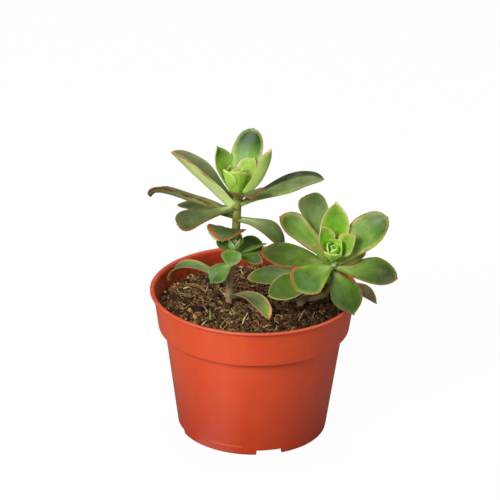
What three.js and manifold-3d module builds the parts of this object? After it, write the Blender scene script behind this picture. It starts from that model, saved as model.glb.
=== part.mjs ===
// A potted aeonium: two leafy rosettes and a small offset, growing from potting mix in a nursery pot.
// Millimetres, +Z up. The origin is the centre of the pot's underside, and the viewer stands at -Y.
import * as THREE from "three";
import { mergeVertices } from "three/addons/utils/BufferGeometryUtils.js";
import Module from "manifold-3d";

const wasm = await Module();
wasm.setup();

// Driving dimensions of the pot
const POT_HEIGHT = 77;
const RIM_RADIUS = 54;
const RIM_WIDTH = 1.8;
const RIM_THICKNESS = 1.2;
const WALL = 1.1;
const BAND_HEIGHT = 20.5;
const BAND_TOP_RADIUS = 52.2;
const BAND_FOOT_RADIUS = 49.4;
const BODY_TOP_RADIUS = 46.2;
const BODY_FOOT_RADIUS = 38.6;
const FOOT_RADIUS = 37.4;
const FOOT_HEIGHT = 3;
const FOOT_WIDTH = 1.6;
const CENTRE_PAD_RADIUS = 11;
const SLOT_WIDTH = 13.6;
const SLOT_HEADINGS = [-76, 14, 104, 194];
const DRAIN_HOLE_RADIUS = 3.5;
const DRAIN_HOLE_DISTANCE = 26;
const POT_SIDES = 48;

// The gap between pieces that touch on the real plant, and what simplifying a cut may move
const CLEARANCE = 0.3;
const CUT_TOLERANCE = 0.1;

// Driving dimensions of the potting mix
const MIX_LEVEL = 68;
const MIX_EDGE_DROP = 1.5;
const MIX_RELIEF = 0.5;
const MIX_SIDES = 32;
const MIX_RINGS = 8;

// Driving dimensions of the stems: the buried end, the scars that shed leaves left, and the facets round
const STEM_FOOT = MIX_LEVEL - 22;
const STEM_SIDES = 10;
const SCAR_STEP = 3.2;
const SCAR_RELIEF = 0.05;

// Driving dimensions of the leaves: their edge, how far a base sinks into its stem, and their facets
const LEAF_EDGE = 0.6;
const LEAF_SEAT = 0.8;
const LEAF_STATIONS = [0, 0.18, 0.38, 0.58, 0.76, 0.9, 0.97, 1];
const LEAF_ACROSS = [-1, -0.5, 0, 0.5, 1];
const SHORT_LEAF = 18;
const SHORT_STATIONS = [0, 0.3, 0.6, 0.86, 1];
const YOUNG_ACROSS = [-1, 0, 1];
const MIDRIB_STEPS = 24;
const HEART_LEAF_STEP = 0.7;
const GOLDEN_ANGLE = 137.5;

const colours = {
  pot: { color: 0xc8492b, roughness: 0.45 },
  mix: { color: 0x4a3426, roughness: 1 },
  stem: { color: 0x8d8159, roughness: 0.8 },
  outer: { color: 0x5f8540, roughness: 0.5 },
  inner: { color: 0x8cba4a, roughness: 0.45 },
  low: { color: 0x557c3a, roughness: 0.55 },
};

const radians = THREE.MathUtils.degToRad;

function meshOf(name, geometry, look) {
  const mesh = new THREE.Mesh(geometry, new THREE.MeshStandardMaterial({ metalness: 0, ...colours[look] }));
  mesh.name = name;
  return mesh;
}

// Closed geometry to a manifold solid and back, for cuts and joins
function toSolid(geometry) {
  const bare = geometry.clone();
  bare.deleteAttribute("normal");
  bare.deleteAttribute("uv");
  const merged = mergeVertices(bare, 1e-4);
  return new wasm.Manifold(
    new wasm.Mesh({
      numProp: 3,
      vertProperties: new Float32Array(merged.attributes.position.array),
      triVerts: new Uint32Array(merged.index.array),
    }),
  );
}

function toGeometry(solid) {
  const { vertProperties, triVerts } = solid.getMesh();
  const geometry = new THREE.BufferGeometry();
  geometry.setAttribute("position", new THREE.BufferAttribute(new Float32Array(vertProperties), 3));
  geometry.setIndex(new THREE.BufferAttribute(new Uint32Array(triVerts), 1));
  geometry.computeVertexNormals();
  return geometry;
}

// The largest part of a solid, without crumbs that a cut left or hollows that a join closed in
function outerShell(solid) {
  const [largest] = solid.decompose().sort((a, b) => b.volume() - a.volume());
  return largest;
}

// A closed skin over rows of points: every row has the same count, and runs round the piece.
function skinOver(rows) {
  const count = rows[0].length;
  const positions = rows.flat().flatMap((p) => [p.x, p.y, p.z]);
  const indices = [];
  for (let row = 0; row + 1 < rows.length; row++) {
    for (let k = 0; k < count; k++) {
      const a = row * count + k;
      const b = row * count + ((k + 1) % count);
      indices.push(a, b, b + count, a, b + count, a + count);
    }
  }
  for (const [row, forward] of [[0, false], [rows.length - 1, true]]) {
    const first = row * count;
    for (let k = 1; k + 1 < count; k++) {
      indices.push(...(forward ? [first, first + k, first + k + 1] : [first, first + k + 1, first + k]));
    }
  }
  const geometry = new THREE.BufferGeometry();
  geometry.setAttribute("position", new THREE.Float32BufferAttribute(positions, 3));
  geometry.setIndex(indices);
  geometry.computeVertexNormals();
  return geometry;
}

// Half the width of a leaf at u along its length, as a share of its greatest half width.
function leafOutline(u, { neck, widest, point }) {
  if (u < widest) {
    const t = u / widest;
    return neck + (1 - neck) * (0.45 * t + 0.55 * t * t * (3 - 2 * t));
  }
  const t = (u - widest) / (1 - widest);
  return Math.max(Math.pow(1 - t * t, point), 0.05);
}

// A fleshy leaf that starts at its own origin and heads along +X. It leaves at `rise` degrees above level
// and ends at `tip` degrees, `fold` lifts its two sides, `roll` turns it about its midrib and `bend` is a
// sideways curve. `keel` says how the sides lift: sharply from the midrib near 0.5, and as a round cup at 1.
// With `room`, it is the same leaf grown by that much all round.
function leafGeometry(leaf, stations = LEAF_STATIONS, across = LEAF_ACROSS, room = 0) {
  const rows = [];
  const centre = new THREE.Vector3();
  let reached = 0;
  const heading = (u) => {
    const pitch = radians(leaf.rise + (leaf.tip - leaf.rise) * Math.pow(u, leaf.curl));
    const yaw = radians(leaf.bend * u);
    const reach = Math.cos(pitch);
    return new THREE.Vector3(reach * Math.cos(yaw), reach * Math.sin(yaw), Math.sin(pitch));
  };
  for (const u of stations) {
    const steps = Math.max(1, Math.round((u - reached) * MIDRIB_STEPS));
    for (let k = 0; k < steps && u > reached; k++) {
      const middle = reached + ((u - reached) * (k + 0.5)) / steps;
      centre.addScaledVector(heading(middle), (leaf.length * (u - reached)) / steps);
    }
    reached = u;
    const along = heading(u);
    const level = new THREE.Vector3(-Math.sin(radians(leaf.bend * u)), Math.cos(radians(leaf.bend * u)), 0);
    const side = level.clone().applyAxisAngle(along, radians(leaf.roll * (0.3 + 0.7 * u)));
    const up = along.clone().cross(side);
    const half = (leaf.width / 2) * leafOutline(u, leaf) + room;
    const ends = u === 0 ? -room : u === 1 ? room : 0;
    const fold = radians(leaf.fold * (1 - 0.3 * u));
    const middleThickness = leaf.thick * (1.2 - 0.5 * u) * (1 - Math.pow(u, 8));
    const at = (v, face) => {
      const rim = Math.pow(Math.abs(v), 2 * leaf.keel);
      const thickness = LEAF_EDGE + Math.max(middleThickness - LEAF_EDGE, 0) * (1 - v * v);
      const lift = half * Math.sin(fold) * rim + (face > 0 ? 0.3 : -0.7) * thickness + face * room;
      const point = centre.clone().addScaledVector(along, ends).addScaledVector(up, lift);
      return point.addScaledVector(side, half * Math.cos(fold) * v);
    };
    rows.push([...across.map((v) => at(v, -1)), ...across.map((v) => at(-v, 1))]);
  }
  return skinOver(rows);
}

// A plain leaf: angles in degrees, thickness in millimetres, and the outline as shares of length and width
const leafDefaults = {
  roll: 0, fold: 16, bend: 0, curl: 1.4, thick: 2, neck: 0.3, widest: 0.62, point: 0.6, keel: 0.75,
};

// One row for each leaf: its name, its height up the stem, its compass heading, its rise and tip angles,
// its length and greatest width, and what else sets it apart.
const tallLeaves = [
  ["tall_leaf_left_low", -3.6, -128, 25, -20, 14.5, 20, { fold: 24 }],
  ["tall_leaf_front_low", -1.8, -108, 34, -50, 23, 20.5, { fold: 12, curl: 2.5, point: 0.75, roll: 4 }],
  ["tall_leaf_right_low", 4.5, -10, -4, -60, 28, 14, { roll: 15, fold: 8 }],
  ["tall_leaf_left_back_low", 6, 152, 0, -10, 33, 12, {}],
  ["tall_leaf_left_long", 8, 172, 14, -70, 45.5, 13.5, { fold: 30, roll: 27, curl: 9, widest: 0.8 }],
  [
    "tall_leaf_left_front", 11.4, -164, -9, -14, 31, 12,
    { roll: -34, fold: 6, bend: 8, point: 0.28, neck: 0.42, widest: 0.82 },
  ],
  ["tall_leaf_right_long", 13.8, -4, 31, -18, 46, 18.5, { fold: -7, roll: 11, curl: 4, neck: 0.35 }],
  ["tall_leaf_back_low", 14, 80, 16, 0, 27, 16, {}],
  ["tall_leaf_front", 17.5, -74, 40, 2, 26, 19, { fold: 20, point: 0.75 }],
  ["tall_leaf_back_left", 17.5, 106, 34, 22, 22, 15, {}],
  ["tall_leaf_left_high", 11.4, 176, 42, 41, 43, 17.5, { fold: 56, neck: 0.5, keel: 0.65 }],
  ["tall_leaf_back", 19, 67, 56, 66, 33.2, 18, { fold: 20, point: 0.5 }],
  [
    "tall_leaf_right_upright", 19, -24, 38, 84, 33.5, 14.5,
    { fold: 38, point: 0.45, widest: 0.75, curl: 1 },
  ],
  [
    "tall_leaf_left_upright", 20, 152, 50, 84, 25, 19,
    { fold: 24, point: 1, keel: 0.9, widest: 0.55, curl: 1.2 },
  ],
  ["tall_leaf_back_right", 21, 39, 58, 68, 17, 15, { fold: 26, keel: 0.9 }],
  ["tall_leaf_front_inner", 20.4, -84, 72, 86, 14, 15, { fold: 30, neck: 0.7, keel: 1 }],
];

const sideLeaves = [
  ["side_leaf_back_low", 3.5, 96, 18, 6, 22, 12, {}],
  ["side_leaf_right_back", 6.5, 25, 27, 14, 17.5, 13, { fold: 26, roll: -10 }],
  ["side_leaf_front_right", 5.5, -67, 12, -8, 29, 17.6, { point: 1, neck: 0.2 }],
  ["side_leaf_left", 6.6, 179, 21, -5, 36.5, 15.4, { point: 0.72 }],
  ["side_leaf_right", 7, -16, 22, 5, 33.5, 17.2, { neck: 0.2 }],
  ["side_leaf_back_left", 8, 109, 26, 14, 37, 15.6, { point: 0.32, widest: 0.84, bend: 14 }],
  ["side_leaf_front_left", 9.2, -132, 25, -13, 26.2, 19, { point: 0.6, widest: 0.72, neck: 0.24 }],
  ["side_leaf_upper_left", 9.8, 145, 32, 18, 35, 14.8, { bend: 13, point: 0.6, widest: 0.72 }],
  ["side_leaf_right_upper", 10, 31, 50, 30, 36.5, 20, { point: 0.5 }],
  ["side_leaf_front_inner", 11.5, 188, 52, 80, 19, 9, { fold: 20, point: 0.9, roll: 60, neck: 0.5 }],
  ["side_leaf_back", 11, 94, 50, 56, 30.8, 16, { point: 0.85, widest: 0.55 }],
  ["side_leaf_right_inner", 13, 28, 62, 68, 19, 13, { fold: 30, point: 0.8, keel: 0.9 }],
  ["side_leaf_left_inner", 13.4, 138, 62, 68, 20, 11.5, { fold: 30, keel: 0.9 }],
];

const sideLowLeaves = [
  ["side_leaf_left_low_far", -4, 176, 16, -10, 41, 17, { roll: -18 }],
  ["side_leaf_left_low", -0.6, 201, 7, -22, 32, 16.5, { roll: -32 }],
  ["side_leaf_right_low", -1, -18, 4, -46, 26, 11.5, {}],
];

const offsetLeaves = [
  ["offset_leaf_low", -5, -138, 0, -46, 15.5, 11.2, { point: 1.3 }],
  ["offset_leaf_right", 2, 6, 36, 24, 17, 5, { fold: 10, roll: -42 }],
  ["offset_leaf_back_right", 2, 28, 16, 0, 15, 13, {}],
  ["offset_leaf_back_left", 3.5, 144, 24, 0, 10, 8, {}],
  ["offset_leaf_front_right", 2.4, -19, 18, -16, 14.5, 8, {}],
  ["offset_leaf_front", 7, -100, 42, -44, 12, 11, { fold: 20, point: 0.95 }],
];

const groundLeaves = [
  ["ground_leaf_left", 12.5, 162, 27, -88, 37, 11.5, { curl: 2.2, widest: 0.74, point: 0.5 }],
  ["ground_leaf_front", 5.5, -49, 28, -50, 32, 11, { fold: 22 }],
];

// Each group of leaves stands on a point of its stem, tipped over from upright towards a compass heading.
// At the stem's end, at `heart.at`, is the heart: its youngest leaves, from the first one's heading on.
const rosettes = [
  {
    foot: [-10, 2.5, 111], tilt: 2, towards: -60, stemRadius: 2.2, leaves: tallLeaves,
    heart: {
      name: "tall_heart", at: [-2, -0.6, 19], radius: 1.9, first: 212, longest: 15, widest: 12.5, count: 7,
    },
  },
  {
    foot: [39.2, -1.6, 87.4], tilt: 34, towards: -82, stemRadius: 2.2, leaves: sideLeaves,
    heart: {
      name: "side_heart", at: [-1.2, 0.9, 11.2], radius: 1.9, first: -100, longest: 15.6, widest: 13, count: 6,
    },
  },
  { foot: [38.6, -1.9, 83], tilt: 0, towards: 0, stemRadius: 2.2, leaves: sideLowLeaves },
  {
    foot: [-11, -5.6, 97.5], tilt: 28, towards: -84, stemRadius: 1.5, leaves: offsetLeaves,
    heart: {
      name: "offset_heart", at: [0, 0, 5], radius: 1.4, first: 66, longest: 11, widest: 8, count: 6,
    },
  },
  { foot: [-12.8, 2.4, 67], tilt: 0, towards: 0, stemRadius: 2, leaves: groundLeaves },
];

// Stems, as points with the radius there, from the buried end upward
const tallStem = [
  [-13, 2.3, STEM_FOOT, 1.7], [-13, 2.3, 60, 1.7], [-13, 2.3, 70, 1.8], [-12.6, 2.4, 82, 1.9],
  [-11.4, 2.4, 97, 2], [-10, 2.5, 111, 2.1], [-9.8, 2.2, 121, 2.3], [-9.6, 1.9, 130, 2.1],
];
const offsetStem = [
  [-12, 2.4, 88, 1.2], [-11.5, -1.5, 92.5, 1.4], [-11, -5.6, 97.5, 1.5], [-10.8, -7.9, 101.9, 1.5],
];
const sideStem = [
  [23.5, 0, STEM_FOOT, 1.9], [23.5, 0, 60, 1.9], [23.6, 0, 68.5, 2], [26, -0.6, 72.4, 2],
  [31, -1.6, 73.8, 2.1], [36.2, -2, 76.4, 2.2], [38.8, -2, 81.6, 2.2], [39.2, -1.6, 87.4, 2.2],
  [40.1, -7.8, 96.6, 2],
];

// The colour of a leaf follows its age and the light that it gets.
function lookOf(name) {
  if (/inner|upright/.test(name)) return "inner";
  return /low|ground/.test(name) ? "low" : "outer";
}

function leafMesh([name, up, compass, rise, tip, length, width, more], stemRadius) {
  const leaf = { ...leafDefaults, rise, tip, length, width, ...more };
  const stations = length < SHORT_LEAF ? SHORT_STATIONS : LEAF_STATIONS;
  const mesh = meshOf(name, leafGeometry(leaf, stations), lookOf(name));
  const start = stemRadius - LEAF_SEAT + Math.abs(Math.sin(radians(rise))) * leaf.thick * 0.6;
  mesh.position.set(start * Math.cos(radians(compass)), start * Math.sin(radians(compass)), up);
  mesh.rotation.z = radians(compass);
  mesh.userData.room = leafGeometry(leaf, stations, LEAF_ACROSS, CLEARANCE + CUT_TOLERANCE);
  return mesh;
}

// The heart is one body: a short core, and young leaves that turn round it by the golden angle, each steeper
// than the last.
function heartGeometry({ radius, first, longest, widest, count }, room = 0) {
  const height = 1.5 + HEART_LEAF_STEP * count;
  const core = new THREE.CylinderGeometry(radius * 0.5 + room, radius + room, height + room, STEM_SIDES);
  let heart = toSolid(core.rotateX(Math.PI / 2).translate(0, 0, (height - room) / 2));
  for (let k = 0; k < count; k++) {
    const share = k / count;
    const size = 1 - 0.6 * share;
    const rise = 56 + 26 * share;
    const young = {
      ...leafDefaults, rise, tip: rise + 26, length: longest * size, width: widest * size,
      thick: 1.3, fold: 34, neck: 0.5, curl: 1.2,
    };
    const blade = leafGeometry(young, SHORT_STATIONS, YOUNG_ACROSS, room);
    blade.translate(0.3, 0, 0.8 + HEART_LEAF_STEP * k).rotateZ(radians(first + GOLDEN_ANGLE * k));
    heart = heart.add(toSolid(blade));
  }
  return toGeometry(outerShell(heart.simplify(CUT_TOLERANCE / 2)));
}

function rosetteGroup({ foot, tilt, towards, stemRadius, leaves, heart }) {
  const group = new THREE.Group();
  group.position.set(...foot);
  const hinge = new THREE.Vector3(-Math.sin(radians(towards)), Math.cos(radians(towards)), 0);
  group.quaternion.setFromAxisAngle(hinge, radians(tilt));
  group.add(...leaves.map((leaf) => leafMesh(leaf, stemRadius)));
  if (heart) {
    const mesh = meshOf(heart.name, heartGeometry(heart), "inner");
    mesh.position.set(...heart.at).setZ(heart.at[2] + CLEARANCE);
    mesh.userData.room = heartGeometry(heart, CLEARANCE + CUT_TOLERANCE);
    group.add(mesh);
  }
  return group;
}

// Each leaf is cut back from the stems that it clasps and from the leaves above it, so that none touch.
function fitLeaves(leaves, stemRooms) {
  const placed = (geometry, mesh) => toSolid(geometry.clone().applyMatrix4(mesh.matrixWorld));
  const rooms = leaves.map((mesh) => placed(mesh.userData.room, mesh));
  leaves.forEach((mesh, index) => {
    const whole = placed(mesh.geometry, mesh);
    let blade = whole;
    for (const room of [...stemRooms, ...rooms.slice(index + 1)]) {
      if (blade.intersect(room).volume() > 0) blade = blade.subtract(room);
    }
    mesh.userData = {};
    if (blade === whole) return;
    const trimmed = outerShell(blade.simplify(CUT_TOLERANCE));
    mesh.geometry = toGeometry(trimmed).applyMatrix4(mesh.matrixWorld.clone().invert());
  });
}

// A round stem along a smooth line through its points, ringed by the scars of the leaves it has shed.
function stemGeometry(points, room = 0) {
  const curve = new THREE.CatmullRomCurve3(points.map(([x, y, z]) => new THREE.Vector3(x, y, z)));
  const count = Math.round(curve.getLength() / SCAR_STEP);
  const rows = [];
  for (let ring = 0; ring <= count; ring++) {
    const t = ring / count;
    const span = Math.min(Math.floor(t * (points.length - 1)), points.length - 2);
    const share = t * (points.length - 1) - span;
    const along = curve.getTangent(t);
    const side = new THREE.Vector3(0, 1, 0).cross(along).normalize();
    const front = along.clone().cross(side);
    const smooth = points[span][3] * (1 - share) + points[span + 1][3] * share;
    const ends = ring === 0 ? -room : ring === count ? room : 0;
    const centre = curve.getPoint(t).addScaledVector(along, ends);
    const relief = centre.z < MIX_LEVEL + SCAR_STEP ? 0 : SCAR_RELIEF * (ring % 2 ? 1 : -1);
    const radius = smooth * (1 + relief) + room;
    rows.push(
      Array.from({ length: STEM_SIDES }, (_, k) => {
        const turn = (2 * Math.PI * k) / STEM_SIDES;
        return centre
          .clone()
          .addScaledVector(side, radius * Math.cos(turn))
          .addScaledVector(front, radius * Math.sin(turn));
      }),
    );
  }
  return skinOver(rows);
}

// The potting mix fills the pot to a rolling top, with a plain hole for each stem.
function mixGeometry() {
  const bandFoot = POT_HEIGHT - BAND_HEIGHT;
  const rimUnder = POT_HEIGHT - RIM_THICKNESS;
  const plate = FOOT_HEIGHT + WALL + CLEARANCE;
  const ledge = bandFoot + WALL + CLEARANCE;
  const inset = WALL + CLEARANCE + CUT_TOLERANCE;
  const edgeLevel = MIX_LEVEL - MIX_EDGE_DROP;
  const climbed = (edgeLevel - bandFoot) / (rimUnder - bandFoot);
  const edgeRadius = BAND_FOOT_RADIUS + (BAND_TOP_RADIUS - BAND_FOOT_RADIUS) * climbed - inset;
  const circle = (radius, height) =>
    Array.from({ length: MIX_SIDES }, (_, k) => {
      const turn = (2 * Math.PI * k) / MIX_SIDES;
      const at = new THREE.Vector3(radius * Math.cos(turn), radius * Math.sin(turn), 0);
      return at.setZ(height(at, radius));
    });
  const level = (z) => () => z;
  const rolling = (at, radius) => {
    const wide = Math.sin(at.x * 0.31 + 1.2) * Math.cos(at.y * 0.27);
    const swell = wide + 0.6 * Math.sin(at.x * 0.73 - at.y * 0.61);
    const share = radius / edgeRadius;
    return MIX_LEVEL - MIX_EDGE_DROP * share * share * share + MIX_RELIEF * swell * (1 - share * share);
  };
  const rows = [
    circle(1, level(WALL + CLEARANCE)),
    circle(CENTRE_PAD_RADIUS - 1.6, level(WALL + CLEARANCE)),
    circle(CENTRE_PAD_RADIUS - 0.7, level(plate)),
    circle(BODY_FOOT_RADIUS - inset, level(plate)),
    circle(BODY_TOP_RADIUS - inset, level(ledge)),
    circle(BAND_FOOT_RADIUS - inset, level(ledge)),
  ];
  for (let ring = MIX_RINGS; ring > 0; ring--) {
    rows.push(circle((edgeRadius * ring) / MIX_RINGS, rolling));
  }
  rows.push(circle(1, rolling));
  let mix = toSolid(skinOver(rows));
  for (const [[x, y, foot, radius]] of [tallStem, sideStem]) {
    const wide = radius + CLEARANCE + CUT_TOLERANCE;
    const hole = new THREE.CylinderGeometry(wide, wide, 2 * (MIX_LEVEL - foot + CLEARANCE), 24);
    mix = mix.subtract(toSolid(hole.rotateX(Math.PI / 2).translate(x, y, MIX_LEVEL)));
  }
  return toGeometry(mix);
}

// The pot is one moulded shell, turned about its axis.
function potGeometry() {
  const bandFoot = POT_HEIGHT - BAND_HEIGHT;
  const rimUnder = POT_HEIGHT - RIM_THICKNESS;
  const plate = FOOT_HEIGHT + WALL;
  const profile = [
    [0, 0], [CENTRE_PAD_RADIUS, 0], [CENTRE_PAD_RADIUS + 1, FOOT_HEIGHT],
    [FOOT_RADIUS - FOOT_WIDTH, FOOT_HEIGHT], [FOOT_RADIUS - FOOT_WIDTH, 0],
    [FOOT_RADIUS, 0], [FOOT_RADIUS + 0.8, 0.8], [BODY_FOOT_RADIUS, FOOT_HEIGHT],
    [BODY_TOP_RADIUS, bandFoot], [BAND_FOOT_RADIUS - 0.4, bandFoot], [BAND_FOOT_RADIUS, bandFoot + 0.5],
    [BAND_TOP_RADIUS, rimUnder], [RIM_RADIUS - 0.3, rimUnder], [RIM_RADIUS, rimUnder + 0.4],
    [RIM_RADIUS, POT_HEIGHT - 0.5], [RIM_RADIUS - 0.5, POT_HEIGHT], [RIM_RADIUS - RIM_WIDTH, POT_HEIGHT],
    [BAND_TOP_RADIUS - WALL, rimUnder], [BAND_FOOT_RADIUS - WALL, bandFoot + WALL],
    [BODY_TOP_RADIUS - WALL, bandFoot + WALL], [BODY_FOOT_RADIUS - WALL, plate],
    [CENTRE_PAD_RADIUS - 0.2, plate], [CENTRE_PAD_RADIUS - 1.1, WALL], [0, WALL],
  ].map(([r, z]) => new THREE.Vector2(r, z));
  const lathe = new THREE.LatheGeometry(profile, POT_SIDES).rotateX(Math.PI / 2);
  let pot = toSolid(lathe);
  if (pot.volume() < 0) throw new Error("the pot's profile is the wrong way round");
  for (const heading of SLOT_HEADINGS) {
    const slot = new THREE.BoxGeometry(8, SLOT_WIDTH, 2 * FOOT_HEIGHT);
    slot.translate(FOOT_RADIUS, 0, 0).rotateZ(radians(heading));
    const hole = new THREE.CylinderGeometry(DRAIN_HOLE_RADIUS, DRAIN_HOLE_RADIUS, 4 * WALL, 16);
    hole.rotateX(Math.PI / 2).translate(DRAIN_HOLE_DISTANCE, 0, FOOT_HEIGHT).rotateZ(radians(heading));
    pot = pot.subtract(toSolid(slot)).subtract(toSolid(hole));
  }
  return toGeometry(pot);
}

const stems = [tallStem, offsetStem, sideStem];
const [tallStemSolid, offsetStemSolid] = stems.map((points) => toSolid(stemGeometry(points)));
const stemRooms = stems.map((points) => toSolid(stemGeometry(points, CLEARANCE)));

const group = new THREE.Group();
group.add(meshOf("pot", potGeometry(), "pot"));
group.add(meshOf("potting_mix", mixGeometry(), "mix"));
group.add(meshOf("tall_stem", toGeometry(tallStemSolid.add(offsetStemSolid)), "stem"));
group.add(meshOf("side_stem", stemGeometry(sideStem), "stem"));
const rosetteGroups = rosettes.map(rosetteGroup);
group.add(...rosetteGroups);
group.updateMatrixWorld(true);
fitLeaves(rosetteGroups.flatMap((rosette) => rosette.children), stemRooms);
export default group;
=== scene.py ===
# %% [markdown]
# # A potted aeonium
#
# Two rosettes of fleshy leaves and one small offset grow from a plastic nursery pot. The imported model
# already holds every piece as a plain solid at its true place. This notebook gives each of them its living
# surface: thick leaves with red edges and pale margins, scarred stems, loose peat, and satin plastic.
#
# The frame is loaded first.

# %% Load the frame
import math
import random

import bmesh
import bpy
import numpy as np
from mathutils import Matrix, Vector, noise


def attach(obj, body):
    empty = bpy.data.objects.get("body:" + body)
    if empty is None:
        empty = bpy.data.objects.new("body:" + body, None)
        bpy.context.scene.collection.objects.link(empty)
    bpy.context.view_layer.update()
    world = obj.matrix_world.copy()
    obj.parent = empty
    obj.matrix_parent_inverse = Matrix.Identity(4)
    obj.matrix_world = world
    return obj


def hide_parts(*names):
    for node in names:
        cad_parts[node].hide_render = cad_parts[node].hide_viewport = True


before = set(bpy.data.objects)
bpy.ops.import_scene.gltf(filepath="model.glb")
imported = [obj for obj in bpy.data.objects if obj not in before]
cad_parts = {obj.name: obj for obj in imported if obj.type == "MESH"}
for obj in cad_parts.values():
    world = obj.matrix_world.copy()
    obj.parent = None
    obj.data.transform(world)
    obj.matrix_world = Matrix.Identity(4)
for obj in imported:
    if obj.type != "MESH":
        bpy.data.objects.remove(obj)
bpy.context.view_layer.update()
MM = 0.001

# %% [markdown]
# ## The camera
#
# The pot's rim is a circle, so its ellipse in the photograph gives the camera: how far it looks down, how
# much it is rolled, and how many millimetres one pixel covers at the rim. A long lens far away keeps the
# pot's sides as parallel as they look. The rays of the same camera also say which spot of the mix a pixel
# shows, which later places a few straws.

# %% Camera from the rim's ellipse
IMAGE_SIDE = 500
SENSOR_WIDTH = 36.0
MM_PER_PIXEL = 0.5163
CAMERA_DISTANCE = 2500.0
CAMERA_ELEVATION = 24.7
CAMERA_ROLL = 1.0
RIM_CENTRE = Vector((0, 0, 77))
RIM_CENTRE_PIXEL = (254.4, 289.0)

down = math.radians(CAMERA_ELEVATION)
roll = math.radians(CAMERA_ROLL)
forward = Vector((0, math.cos(down), -math.sin(down)))
level_right = Vector((1, 0, 0))
level_up = Vector((0, math.sin(down), math.cos(down)))
right = level_right * math.cos(roll) + level_up * math.sin(roll)
upward = level_up * math.cos(roll) - level_right * math.sin(roll)
off_right = (RIM_CENTRE_PIXEL[0] - IMAGE_SIDE / 2) * MM_PER_PIXEL
off_down = (RIM_CENTRE_PIXEL[1] - IMAGE_SIDE / 2) * MM_PER_PIXEL
eye = RIM_CENTRE - forward * CAMERA_DISTANCE - right * off_right + upward * off_down
focal_pixels = CAMERA_DISTANCE / MM_PER_PIXEL

camera_data = bpy.data.cameras.new("camera")
camera_data.lens = focal_pixels * SENSOR_WIDTH / IMAGE_SIDE
camera_data.sensor_width = SENSOR_WIDTH
camera = bpy.data.objects.new("camera", camera_data)
bpy.context.scene.collection.objects.link(camera)
turn = Matrix((right, upward, -forward)).transposed()
camera.matrix_world = Matrix.Translation(eye * MM) @ turn.to_4x4()
bpy.context.scene.camera = camera


def pixel_on_level(pixel, height):
    """Where the ray of a pixel of the photograph meets the level plane at that height, in millimetres."""
    x = (pixel[0] - IMAGE_SIDE / 2) / focal_pixels
    y = (IMAGE_SIDE / 2 - pixel[1]) / focal_pixels
    ray = forward + right * x + upward * y
    return eye + ray * ((height - eye.z) / ray.z)


print("lens:", round(camera_data.lens, 1), "mm")
print("the rim's centre pixel shows", pixel_on_level(RIM_CENTRE_PIXEL, RIM_CENTRE.z))

# %% [markdown]
# ## Small helpers for node trees and meshes
#
# Every finish here is a node tree, so a few short functions keep the trees readable: one adds a node and
# fills or wires its inputs, and a few more name the sums that come up again and again.

# %% Node helpers
def fill(node, tree, inputs):
    """Wires an input that is given a socket, and sets any other input to the value it is given."""
    for key, value in inputs.items():
        if isinstance(value, bpy.types.NodeSocket):
            tree.links.new(value, node.inputs[key])
        else:
            node.inputs[key].default_value = value
    return node


def add(tree, kind, inputs=None, **settings):
    """A new node with its settings and its inputs."""
    node = tree.nodes.new(kind)
    for name, value in settings.items():
        setattr(node, name, value)
    return fill(node, tree, inputs or {})


def maths(tree, operation, a, b=0.0):
    return add(tree, "ShaderNodeMath", {0: a, 1: b}, operation=operation).outputs[0]


def vector_maths(tree, operation, a, b=(0, 0, 0)):
    """A sum with vectors. A length and a dot product come out as one number."""
    node = add(tree, "ShaderNodeVectorMath", {0: a, 1: b}, operation=operation)
    return node.outputs["Value" if operation in ("LENGTH", "DOT_PRODUCT") else "Vector"]


def times(tree, *shares):
    """The product of them all."""
    product = shares[0]
    for share in shares[1:]:
        product = maths(tree, "MULTIPLY", product, share)
    return product


def ramp(tree, value, start, end, low=0.0, high=1.0):
    """A smooth step from low at start to high at end."""
    inputs = {0: value, 1: start, 2: end, 3: low, 4: high}
    return add(tree, "ShaderNodeMapRange", inputs, interpolation_type="SMOOTHSTEP").outputs[0]


def blend(tree, share, a, b, how="MIX"):
    """Colour a turned towards colour b by a share of 0 to 1."""
    node = add(tree, "ShaderNodeMix", {0: share, 6: a, 7: b}, data_type="RGBA", blend_type=how)
    return node.outputs[2]


def grain(tree, place, scale, detail=2.0, rough=0.5):
    """Noise of 0 to 1 with that many lumps in each unit of place."""
    inputs = {"Vector": place, "Scale": scale, "Detail": detail, "Roughness": rough}
    return add(tree, "ShaderNodeTexNoise", inputs).outputs["Fac"]


def stretched(tree, place, along, across, depth=1.0):
    return add(tree, "ShaderNodeMapping", {"Vector": place, "Scale": (along, across, depth)}).outputs[0]


def attribute(tree, name):
    return add(tree, "ShaderNodeAttribute", attribute_name=name).outputs["Fac"]


def paint(code):
    """A colour as a web code, made linear for the shaders."""
    shares = [int(code[k : k + 2], 16) / 255 for k in (0, 2, 4)]
    return (*[s / 12.92 if s <= 0.04045 else ((s + 0.055) / 1.055) ** 2.4 for s in shares], 1)


def new_group(name, kind, inputs, outputs):
    """An empty node group with named sockets. An input comes with its first value."""
    tree = bpy.data.node_groups.new(name, kind)
    for label, (socket, value) in inputs.items():
        made = tree.interface.new_socket(label, in_out="INPUT", socket_type="NodeSocket" + socket)
        if value is not None:
            made.default_value = value
    for label, socket in outputs.items():
        tree.interface.new_socket(label, in_out="OUTPUT", socket_type="NodeSocket" + socket)
    return tree, tree.nodes.new("NodeGroupInput"), tree.nodes.new("NodeGroupOutput")


def new_material(name, **shader):
    """A material with its Principled shader, whose plain values are set by their socket names."""
    material = bpy.data.materials.new(name)
    material.use_nodes = True
    tree = material.node_tree
    principled = tree.nodes["Principled BSDF"]
    for label, value in shader.items():
        principled.inputs[label.replace("_", " ")].default_value = value
    return material, tree, principled


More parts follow.
